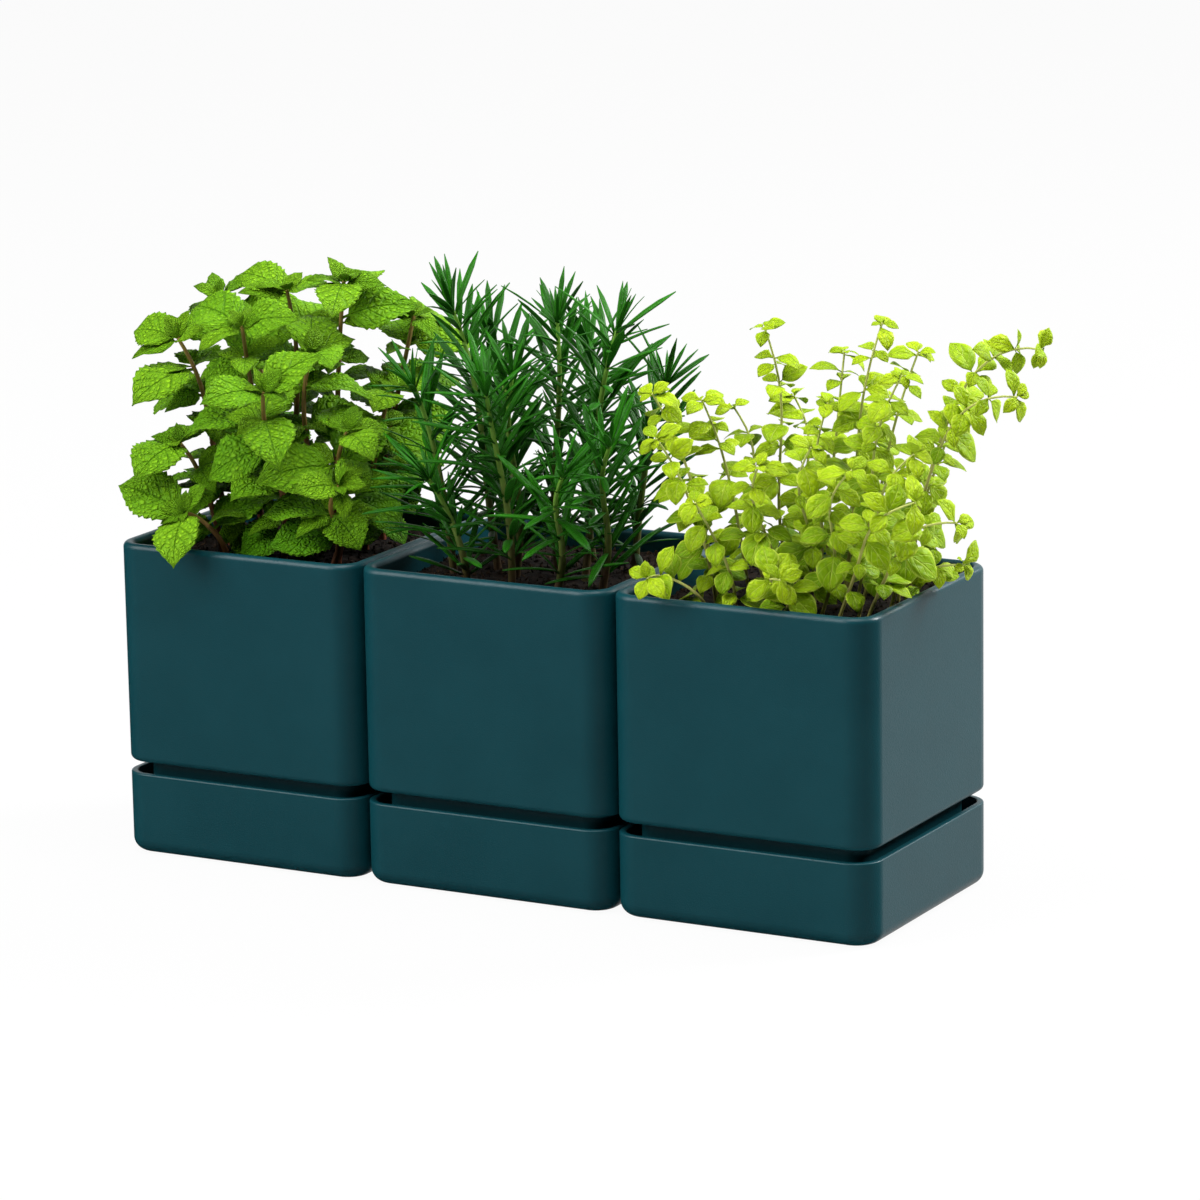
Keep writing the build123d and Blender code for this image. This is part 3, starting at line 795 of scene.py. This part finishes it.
# %% Build the tree that draws stems
STEM_ROUNDING = 0.7
SQUARE = {"Width": 2.0, "Height": 2.0}
stem_tree, came_in, goes_out = shape_tree("draw_stems", ("Edge rounding", "Float", STEM_ROUNDING))
make = partial(output_of, stem_tree)
line = make("GeometryNodeMeshToCurve", {"Mesh": came_in["Geometry"]})
square = make("GeometryNodeCurvePrimitiveQuadrilateral", SQUARE)
section = make("GeometryNodeFilletCurve", {"Curve": square, "Radius": came_in["Edge rounding"]})
swept = make("GeometryNodeCurveToMesh", {
    "Curve": line, "Profile Curve": section, "Scale": named_value(stem_tree, "FLOAT", "thickness"),
    "Fill Caps": True})
smooth = make("GeometryNodeSetShadeSmooth", {"Geometry": swept})
paint_and_end(stem_tree, smooth, came_in["Finish"], goes_out)
print("stem tree with", len(stem_tree.nodes), "nodes")


# %% [markdown]
# From a tree to a plain mesh
# A tree runs as a modifier, whose inputs are set by the identifiers of their sockets. Inputs that are not
# set keep the tree's own values. The result is copied to a plain mesh under the same name, and the
# modifier goes with the object that carried it.

# %% Run a tree
def run_tree(piece, tree, **values):
    modifier = piece.modifiers.new(tree.name, "NODES")
    modifier.node_group = tree
    sockets = {item.name.replace(" ", "_"): item.identifier for item in tree.interface.items_tree
               if item.in_out == "INPUT"}
    for name, value in values.items():
        modifier[sockets[name]] = value
    bpy.context.view_layer.update()
    evaluated = piece.evaluated_get(bpy.context.evaluated_depsgraph_get())
    mesh = bpy.data.meshes.new_from_object(evaluated)
    name = piece.name
    bpy.data.objects.remove(piece)
    result = bpy.data.objects.new(name, mesh)
    mesh.name = name
    scene.collection.objects.link(result)
    return result


print("trees:", leaf_tree.name, "and", stem_tree.name)

# %% [markdown]
# Veins
# Every leaf has a midrib, and mint and oregano have side veins that slant forward. They could be painted on
# an image, but lines reckoned from the UV map stay sharp on every leaf. The group draws both and marks the
# edge of the blade. Veins are sunk. On mint and rosemary they are painted dark, as painted shade in their
# sunk grooves, and on oregano they are pale, which is the leaf's own colour.

# %% Build the vein group
SIDE_VEIN_SHARE, EDGE_FROM, EDGE_TO = 0.6, 0.40, 0.49
vein_group, came_in, goes_out = value_group(
    "leaf_veins", ("Count", "Slant", "Midrib width", "Vein width"), ("Veins", "Edge"))


def blade_place(tree):
    uv = output_of(tree, "ShaderNodeUVMap", uv_map="UVMap")
    return add_node(tree, "ShaderNodeSeparateXYZ", {"Vector": uv}).outputs


def line_mask(tree, distance, width):
    share = math_node(tree, "MINIMUM", math_node(tree, "DIVIDE", distance, width), 1.0)
    return math_node(tree, "SUBTRACT", 1.0, share)


spread = blade_place(vein_group)
calc = partial(math_node, vein_group)
from_rib = calc("ABSOLUTE", calc("SUBTRACT", spread["Y"], 0.5))
slanted = calc("MULTIPLY", calc("MULTIPLY", from_rib, 2.0), came_in["Slant"])
phase = calc("MULTIPLY", calc("SUBTRACT", spread["X"], slanted), came_in["Count"])
side_veins = line_mask(vein_group, calc("PINGPONG", phase, 0.5), came_in["Vein width"])
side_veins = calc("MULTIPLY", side_veins, SIDE_VEIN_SHARE)
midribs = line_mask(vein_group, from_rib, came_in["Midrib width"])
vein_group.links.new(calc("MAXIMUM", midribs, side_veins), goes_out["Veins"])
vein_group.links.new(ramp_node(vein_group, from_rib, EDGE_FROM, EDGE_TO), goes_out["Edge"])
print("vein group with", len(vein_group.nodes), "nodes")


# %% [markdown]
# Puckers
# Between its veins a mint leaf swells into pillows. The large ones are in its shape. Small ones would take
# too many faces, so they are left to a bump. Voronoi cells, measured by the distance to their edges, give
# such pillows. The leaf's age is the third coordinate, so leaves of different ages differ.

# %% Build the pucker group
PUCKER_SHIFT, PILLOW_WIDTH = 29.0, 0.34


def carried(tree, name):
    return add_node(tree, "ShaderNodeAttribute", attribute_name=name).outputs["Fac"]


pucker_group, came_in, goes_out = value_group("leaf_puckers", ("Along", "Across"), ("Pillow",))
spread = blade_place(pucker_group)
times = partial(math_node, pucker_group, "MULTIPLY")
place = output_of(pucker_group, "ShaderNodeCombineXYZ", {
    "X": times(spread["X"], came_in["Along"]), "Y": times(spread["Y"], came_in["Across"]),
    "Z": times(carried(pucker_group, "age"), PUCKER_SHIFT)})
cells = output_of(pucker_group, "ShaderNodeTexVoronoi", {"Vector": place, "Scale": 1.0},
                  feature="DISTANCE_TO_EDGE")
# The leaf finish uses this pillow as a bump and, turned round, as the mask for painted shade in the hollows
# between the puckers.
pucker_group.links.new(ramp_node(pucker_group, cells, 0.0, PILLOW_WIDTH), goes_out["Pillow"])
print("pucker group with", len(pucker_group.nodes), "nodes")

# %% [markdown]
# Leaf green
# Leaves of different ages could have materials of their own, but one that reads a leaf's age does for all.
# It goes from the deep green of an old leaf to the yellow green of a young one, with small clouds over it.
# Over it are laid, one after another and each by its own mask: painted shade in the hollows between the
# puckers, the veins, the edge and the under side. The veins of mint and rosemary are painted dark, as the
# shade in their sunk grooves. Drawn veins have the count and slant of the shaped ones.

# %% Finish the leaves
GREENS = by_herb(
    "Green", old=((0.082, 0.268, 0.003, 1), (0.004, 0.042, 0.001, 1), (0.145, 0.290, 0.001, 1)),
    young=((0.250, 0.510, 0.012, 1), (0.026, 0.210, 0.004, 1), (0.430, 0.600, 0.004, 1)),
    # The next colour is painted shade, which darkens the hollows between the puckers.
    valley=((0.028, 0.130, 0.001, 1), (0.003, 0.030, 0.001, 1), (0.075, 0.185, 0.001, 1)),
    # Mint and rosemary veins are painted dark as the shade in their sunk grooves; oregano's pale veins are
    # its own colour.
    vein=((0.045, 0.160, 0.002, 1), (0.004, 0.030, 0.001, 1), (0.60, 0.72, 0.10, 1)),
    edge=((0.24, 0.48, 0.02, 1), (0.018, 0.110, 0.005, 1), (0.58, 0.70, 0.08, 1)),
    beneath=((0.26, 0.47, 0.04, 1), (0.02, 0.12, 0.012, 1), (0.36, 0.54, 0.03, 1)),
    roughness=(0.54, 0.36, 0.48), specular=(0.10, 0.12, 0.12), midrib=(0.024, 0.10, 0.035),
    vein_width=(0.16, 0.001, 0.10), vein_strength=(0.75, 0.7, 0.50), edge_strength=(0.12, 0.35, 0.50),
    along=(14.0, 30.0, 5.0), across=(10.0, 3.0, 4.0), depth=(0.0012, 0.0001, 0.0003),
    hollow=(0.45, 0.3, 0.3))
LEAF_CLOUDS, UNDER_SHARE, GRAIN_RISE, VEIN_SINK = 0.7, 0.6, 0.2, 1.2


def clouded(tree, value, cloud, share):
    shift = math_node(tree, "MULTIPLY", math_node(tree, "SUBTRACT", cloud, 0.5), share)
    return math_node(tree, "ADD", value, shift, clamp=True)


def lay_over(tree, colour, mask, share, upper_colour):
    return mix_colours(tree, math_node(tree, "MULTIPLY", mask, share), colour, upper_colour)


def leaf_finish(herb):
    green, look = GREENS[herb.name], LOOKS[herb.name]
    finish, tree, shader = new_finish(herb.name + "_leaf", green.roughness, green.specular)
    grain = place_grain(tree, fine=900.0, cloud=90.0)
    cells = {"Along": green.along, "Across": green.across}
    pillow = output_of(tree, "ShaderNodeGroup", cells, node_tree=pucker_group)
    lines = {"Count": look.veins, "Slant": look.slant, "Midrib width": green.midrib,
             "Vein width": green.vein_width}
    veins = add_node(tree, "ShaderNodeGroup", lines, node_tree=vein_group).outputs
    age = clouded(tree, carried(tree, "age"), grain["Cloud"], LEAF_CLOUDS)
    colour = mix_colours(tree, age, green.old, green.young)
    # Painted shade: the hollows between the puckers, where the pillow is low, are darkened.
    colour = lay_over(tree, colour, math_node(tree, "SUBTRACT", 1.0, pillow), green.hollow, green.valley)
    # Veins: painted shade of the sunk grooves on mint and rosemary, and the leaf's own pale colour on
    # oregano.
    colour = lay_over(tree, colour, veins["Veins"], green.vein_strength, green.vein)
    colour = lay_over(tree, colour, veins["Edge"], green.edge_strength, green.edge)
    colour = lay_over(tree, colour, carried(tree, "beneath"), UNDER_SHARE, green.beneath)
    tree.links.new(colour, shader.inputs["Base Color"])
    rough = math_node(tree, "ADD", pillow, math_node(tree, "MULTIPLY", grain["Fine"], GRAIN_RISE))
    sunk = math_node(tree, "MULTIPLY", veins["Veins"], VEIN_SINK)
    bump(tree, math_node(tree, "SUBTRACT", rough, sunk), shader, strength=0.8, distance=green.depth)
    return finish


print(len(GREENS), "greens")

# %% [markdown]
# Bark
# A stem is woody or reddish at its foot and green at its tip. Two materials would meet at a sharp line. So
# its points carry their height, which mixes the two colours, with clouds over it to break up the change.

# %% Finish the stems
BARKS = by_herb(
    "Bark", foot=((0.17, 0.050, 0.018, 1), (0.07, 0.040, 0.016, 1), (0.28, 0.25, 0.06, 1)),
    tip=((0.24, 0.17, 0.035, 1), (0.14, 0.32, 0.03, 1), (0.50, 0.56, 0.14, 1)))
BARK_CLOUDS = 0.6


def stem_finish(herb):
    bark = BARKS[herb.name]
    finish, tree, shader = new_finish(herb.name + "_stem", roughness=0.55, specular=0.3)
    grain = place_grain(tree, fine=700.0, cloud=120.0)
    height = clouded(tree, carried(tree, "height"), grain["Cloud"], BARK_CLOUDS)
    tree.links.new(mix_colours(tree, height, bark.foot, bark.tip), shader.inputs["Base Color"])
    bump(tree, grain["Fine"], shader, strength=0.4, distance=0.0003)
    return finish


print(len(BARKS), "barks")

# %% [markdown]
# Leaf shapes of a herb
# Every leaf droops by its own angle and could have a shape of its own, but nobody would see the difference.
# Five bends serve large leaves and three young ones, and each leaf takes the shape whose bend is nearest
# its own. That can carry a tip a little past its unit, into the path of the next pot, so such a leaf is
# drawn shorter.

# %% Make the leaf shapes of a herb
DROOP_SHARES, YOUNG_SHARES = (0.60, 0.78, 0.95, 1.12, 1.27), (0.78, 0.95, 1.12)
EDGE_ROOM, SHORTEN, MOST_CUTS, WAVE_STEP = 0.4, 0.97, 20, 1.9


def add_shapes(shapes, herb, look, bends):
    first = len(shapes.objects)
    for k, bend in enumerate(bends, first):
        shape = leaf_shape(herb.name + "_shape_" + str(k), look, herb.petiole, bend, WAVE_STEP * k)
        shapes.objects.link(shape)
        scene.collection.objects.unlink(shape)
    return first


def kept_inside(herb, leaf, bend):
    limit = INNER_REACH - EDGE_ROOM - min(leaf.half_width, NARROW) * abs(leaf.across[0])
    for attempt in range(MOST_CUTS):
        if not past_unit(herb, leaf_points(herb, leaf._replace(bend=bend))[:, 0], limit):
            break
        leaf = leaf._replace(length=leaf.length * SHORTEN)
    return leaf


def drop_shapes(shapes):
    for shape in list(shapes.objects):
        bpy.data.objects.remove(shape)
    bpy.data.collections.remove(shapes)


print(len(DROOP_SHARES), "bends for large leaves,", len(YOUNG_SHARES), "for young ones")

# %% [markdown]
# All leaves of a herb
# The leaves of a herb are one piece on its pot's body. Each leaf gives the tree one point, with a frame of
# three directions as its turn. Its age rises along the stem, and dice move it a little.

# %% Set the leaves of a herb
MM = 0.001
AGE_SEED, AGE_FOOT, AGE_RISE, AGE_LESS, AGE_MORE = 11, 0.15, 0.55, -0.2, 0.3


def leaf_piece(herb, old_leaves, young_leaves, origin):
    dice = random.Random(AGE_SEED)
    young = YOUNG[herb.name]
    shapes = bpy.data.collections.new(herb.name + "_leaf_shapes")
    scene.collection.children.link(shapes)
    points, facing, extent, numbers, ages = [], [], [], [], []
    for leaves, droop, shares, looks, narrow in (
            (old_leaves, herb.droop, DROOP_SHARES, LOOKS, 1.0),
            (young_leaves, young.droop, YOUNG_SHARES, YOUNG_LOOKS, young.width)):
        bends = [math.radians(droop * share) for share in shares]
        first = add_shapes(shapes, herb, looks[herb.name], bends)
        for leaf, share in leaves:
            kind = min(range(len(bends)), key=lambda k: abs(bends[k] - leaf.bend))
            leaf = kept_inside(herb, leaf, bends[kind])
            points.append(Vector(leaf.base * MM) + origin)
            facing += list(Matrix((leaf.ahead, -leaf.across, leaf.above)).transposed().to_euler())
            wide = 2 * leaf.half_width / LOOKS[herb.name].width * narrow
            extent += [leaf.length * MM, wide * MM, leaf.length * MM]
            numbers.append(first + kind)
            age = AGE_FOOT + AGE_RISE * share + dice.uniform(AGE_LESS, AGE_MORE)
            ages.append(min(max(age, 0.0), 1.0))
    piece = mesh_object(herb.name + "_leaves", points, [], [])
    carry(piece, "facing", "FLOAT_VECTOR", facing)
    carry(piece, "extent", "FLOAT_VECTOR", extent)
    carry(piece, "shape", "INT", numbers)
    carry(piece, "age", "FLOAT", ages)
    result = run_tree(piece, leaf_tree, Leaf_shapes=shapes, Finish=leaf_finish(herb))
    drop_shapes(shapes)
    return result


print("ages from", AGE_FOOT, "at a stem's foot to", AGE_FOOT + AGE_RISE, "at its tip")

# %% [markdown]
# All stems of a herb
# The stems of a herb are the second piece on its pot's body. Each is a line of points that starts in the
# soil, and its points carry the stem's thickness and their height.

# %% Draw the stems of a herb
STEM_STEPS, STEM_DEPTH = 14, 10.0


def stem_piece(herb, origin):
    shares = [k / STEM_STEPS for k in range(STEM_STEPS + 1)]
    points, edges, thickness, height = [], [], [], []
    for sprig in herb.sprigs:
        line = [stem_point(herb, sprig, t) for t in shares]
        line.insert(0, line[0] - np.array([0.0, 0.0, STEM_DEPTH]))
        start = len(points)
        points += [Vector(p * MM) + origin for p in line]
        edges += [(start + k, start + k + 1) for k in range(len(line) - 1)]
        thickness += [(herb.stem_foot + (herb.stem_tip - herb.stem_foot) * t) * MM for t in [0.0] + shares]
        height += [0.0] + shares
    piece = mesh_object(herb.name + "_stems", points, edges, [])
    carry(piece, "thickness", "FLOAT", thickness)
    carry(piece, "height", "FLOAT", height)
    return run_tree(piece, stem_tree, Finish=stem_finish(herb))


print(STEM_STEPS, "steps on a stem")

# %% [markdown]
# Planting
# Leaves and stems ride with their pot. They stand for the CAD's sprigs, which are not shown any more.

# %% Plant the herbs
RIM_HEIGHT = 138.0
SOIL_TOP = RIM_HEIGHT - SOIL_BELOW_RIM
UNIT_X = {"left": -(POT_WIDTH + UNIT_GAP), "middle": 0.0, "right": POT_WIDTH + UNIT_GAP}
for herb in HERBS:
    origin = Vector((UNIT_X[herb.unit] * MM, 0.0, SOIL_TOP * MM))
    leaves = leaf_piece(herb, growth[herb.name][0], young_growth[herb.name], origin)
    stalks = stem_piece(herb, origin)
    for piece in (leaves, stalks):
        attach(piece, "pot_" + herb.unit)
    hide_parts(*[name for name in frame["nodes"] if name.startswith(herb.name + "_sprig_")])
    print(herb.name, len(leaves.data.polygons), "faces on leaves,", len(stalks.data.polygons), "on stems")

# %% [markdown]
# Bed of soil
# Potting mix is a lumpy dark bed. A sheet with lumps would do for a view from above, but this piece stands
# for the CAD's soil, so it is one closed body that fills its pot: a grid for the top, pushed up and down by
# noise in two sizes, and rings for the walls, the step above the neck and the floor.

# %% Shape the beds
SHELF_TOP, NECK_FLOOR_TOP, NECK_INSIDE, SOIL_CLEARANCE = 46.0, 9.0, 96.0, 0.3
SOIL_HALF, SOIL_CORNER = POT_INSIDE / 2 - SOIL_CLEARANCE, 6.7
NECK_HALF, NECK_CORNER = NECK_INSIDE / 2 - SOIL_CLEARANCE, 3.7
BED_CELLS = 44
LUMP_HEIGHT, LUMP_SCALE, CLOD_HEIGHT, CLOD_SCALE = 1.6, 0.045, 1.3, 0.19
LUMP_SHIFT, CLOD_SHIFT, CLOD_START = 7.0, 5.0, 3.0
BED_SINK, EDGE_DIP, EDGE_START, EDGE_STEEP = 1.0, 1.2, 0.9, 10.0


def in_rounded_square(x, y, half, corner):
    x, y, straight = x * half, y * half, half - corner
    over_x, over_y = abs(x) - straight, abs(y) - straight
    if over_x <= 0 or over_y <= 0:
        return x, y
    pull = max(over_x, over_y) / math.hypot(over_x, over_y)
    return math.copysign(straight + over_x * pull, x), math.copysign(straight + over_y * pull, y)


def bed_height(x, y, unit_number):
    lump = noise.noise(Vector((x * LUMP_SCALE, y * LUMP_SCALE, LUMP_SHIFT * unit_number)))
    clod = noise.noise(Vector((x * CLOD_SCALE, y * CLOD_SCALE, CLOD_START + CLOD_SHIFT * unit_number)))
    edge = max(abs(x), abs(y)) / SOIL_HALF
    dip = EDGE_DIP * max(0.0, edge - EDGE_START) * EDGE_STEEP
    return SOIL_TOP - BED_SINK + LUMP_HEIGHT * lump + CLOD_HEIGHT * clod - dip


def soil_bed(unit, unit_number):
    steps = [2.0 * k / BED_CELLS - 1.0 for k in range(BED_CELLS + 1)]
    points = []
    for u in steps:
        for v in steps:
            x, y = in_rounded_square(u, v, SOIL_HALF, SOIL_CORNER)
            points.append((x, y, bed_height(x, y, unit_number)))
    faces = grid_faces(BED_CELLS, BED_CELLS)
    rim = [(i, j) for j, i in grid_edge(BED_CELLS, BED_CELLS)]
    last = [i * (BED_CELLS + 1) + j for i, j in rim]
    for half, corner, level in ((SOIL_HALF, SOIL_CORNER, SHELF_TOP), (NECK_HALF, NECK_CORNER, SHELF_TOP),
                                (NECK_HALF, NECK_CORNER, NECK_FLOOR_TOP)):
        ring = list(range(len(points), len(points) + len(rim)))
        for i, j in rim:
            x, y = in_rounded_square(steps[i], steps[j], half, corner)
            points.append((x, y, level + SOIL_CLEARANCE))
        faces += zip(last, ring, ring[1:] + ring[:1], last[1:] + last[:1])
        last = ring
    faces.append(tuple(reversed(last)))
    origin = Vector((UNIT_X[unit] * MM, 0.0, 0.0))
    return mesh_object("soil_bed_" + unit, [Vector(p) * MM + origin for p in points], [], faces)


print("beds", 2 * SOIL_HALF, "mm wide")

# %% [markdown]
# Crumbs by Geometry Nodes
# Loose crumbs and bits of bark lie on the bed. A bump would give them no edges and no shadows, so they are
# small solid lumps. The tree strews them over the faces that look up, with a fixed seed, and turns and
# sizes each at random. Each also gets a random tone, by which the finish colours a few as bark.

# %% Build the tree that strews crumbs
FACING_UP, FULL_TURN = 0.6, 6.28


def random_value(tree, kind, low, high):
    return output_of(tree, "FunctionNodeRandomValue", {"Min": low, "Max": high}, data_type=kind)


crumb_tree, came_in, goes_out = shape_tree(
    "scatter_crumbs", ("Crumb shapes", "Collection", None), ("Crumbs a square metre", "Float", 110000.0),
    ("Smallest", "Float", 0.0006), ("Largest", "Float", 0.0030), ("Seed", "Int", None))
make = partial(output_of, crumb_tree)
normal = make("GeometryNodeInputNormal")
upward = add_node(crumb_tree, "ShaderNodeSeparateXYZ", {"Vector": normal}).outputs["Z"]
looks_up = make("FunctionNodeCompare", {"A": upward, "B": FACING_UP}, operation="GREATER_THAN")
strewn = make("GeometryNodeDistributePointsOnFaces", {
    "Mesh": came_in["Geometry"], "Selection": looks_up, "Density": came_in["Crumbs a square metre"],
    "Seed": came_in["Seed"]}, distribute_method="RANDOM")
angles = random_value(crumb_tree, "FLOAT_VECTOR", (0.0, 0.0, 0.0), (FULL_TURN, FULL_TURN, FULL_TURN))
placed = make("GeometryNodeInstanceOnPoints", {
    "Points": strewn, "Instance": shapes_of(crumb_tree, came_in["Crumb shapes"]), "Pick Instance": True,
    "Rotation": make("FunctionNodeEulerToRotation", {"Euler": angles}),
    "Scale": random_value(crumb_tree, "FLOAT", came_in["Smallest"], came_in["Largest"])})
toned = make("GeometryNodeStoreNamedAttribute", {
    "Geometry": placed, "Name": "tone", "Value": random_value(crumb_tree, "FLOAT", 0.0, 1.0)},
    data_type="FLOAT", domain="INSTANCE")
real = make("GeometryNodeRealizeInstances", {"Geometry": toned})
heaped = add_node(crumb_tree, "GeometryNodeJoinGeometry", {"Geometry": real})
wire(crumb_tree, came_in["Geometry"], heaped.inputs["Geometry"])
paint_and_end(crumb_tree, heaped.outputs["Geometry"], came_in["Finish"], goes_out)
print("crumb tree with", len(crumb_tree.nodes), "nodes")

# %% [markdown]
# Potting mix
# Moist peat is nearly black with brown clouds. Crumbs could have a material of their own, but then they
# would stand out from the bed. One finish serves both, and the crumbs of the highest tones take the colour
# of bark in it.

# %% Finish the soil
SOIL_DARK, SOIL_BROWN = (0.0045, 0.0030, 0.0022, 1.0), (0.017, 0.010, 0.006, 1.0)
BARK_BROWN, BARK_TONE, BARK_SHARE = (0.060, 0.034, 0.018, 1.0), 0.80, 0.8
earth, tree, shader = new_finish("potting_mix", roughness=0.92, specular=0.15)
grain = place_grain(tree, fine=1400.0, cloud=260.0)
colour = mix_colours(tree, ramp_node(tree, grain["Cloud"], low=0.35, high=0.65), SOIL_DARK, SOIL_BROWN)
bark = ramp_node(tree, carried(tree, "tone"), BARK_TONE, 1.0)
tree.links.new(lay_over(tree, colour, bark, BARK_SHARE, BARK_BROWN), shader.inputs["Base Color"])
relief = math_node(tree, "ADD", grain["Fine"], grain["Cloud"])
bump(tree, relief, shader, strength=0.7, distance=0.0012)
print("finish", earth.name)

# %% [markdown]
# Filling the pots
# Four small lumps serve as crumbs: two round ones, a flake and a splinter. Each pot has its own noise and
# its own seed, so no two beds look alike.

# %% Fill the pots with soil
CRUMBS = ((1.0, 0.8, 0.6), (0.9, 1.0, 0.7), (1.4, 0.7, 0.35), (2.6, 0.35, 0.3))
CRUMB_SEED, CRUMB_LEAST, CRUMB_MOST, FIRST_SEED = 23, 0.7, 1.25, 3


def crumb_shape(name, stretch, dice):
    lump = bmesh.new()
    bmesh.ops.create_icosphere(lump, subdivisions=1, radius=0.5)
    for vertex in lump.verts:
        stretched = Vector([c * s for c, s in zip(vertex.co, stretch)])
        vertex.co = stretched * dice.uniform(CRUMB_LEAST, CRUMB_MOST)
    mesh = bpy.data.meshes.new(name)
    lump.to_mesh(mesh)
    lump.free()
    return bpy.data.objects.new(name, mesh)


crumbs = bpy.data.collections.new("crumb_shapes")
scene.collection.children.link(crumbs)
dice = random.Random(CRUMB_SEED)
for k, stretch in enumerate(CRUMBS):
    crumbs.objects.link(crumb_shape("crumb_" + str(k), stretch, dice))
for number, unit in enumerate(UNITS):
    bed = run_tree(soil_bed(unit, number), crumb_tree,
                   Crumb_shapes=crumbs, Seed=FIRST_SEED + number, Finish=earth)
    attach(bed, "pot_" + unit)
    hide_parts("soil_" + unit)
    print("soil", unit, len(bed.data.polygons), "faces")
drop_shapes(crumbs)
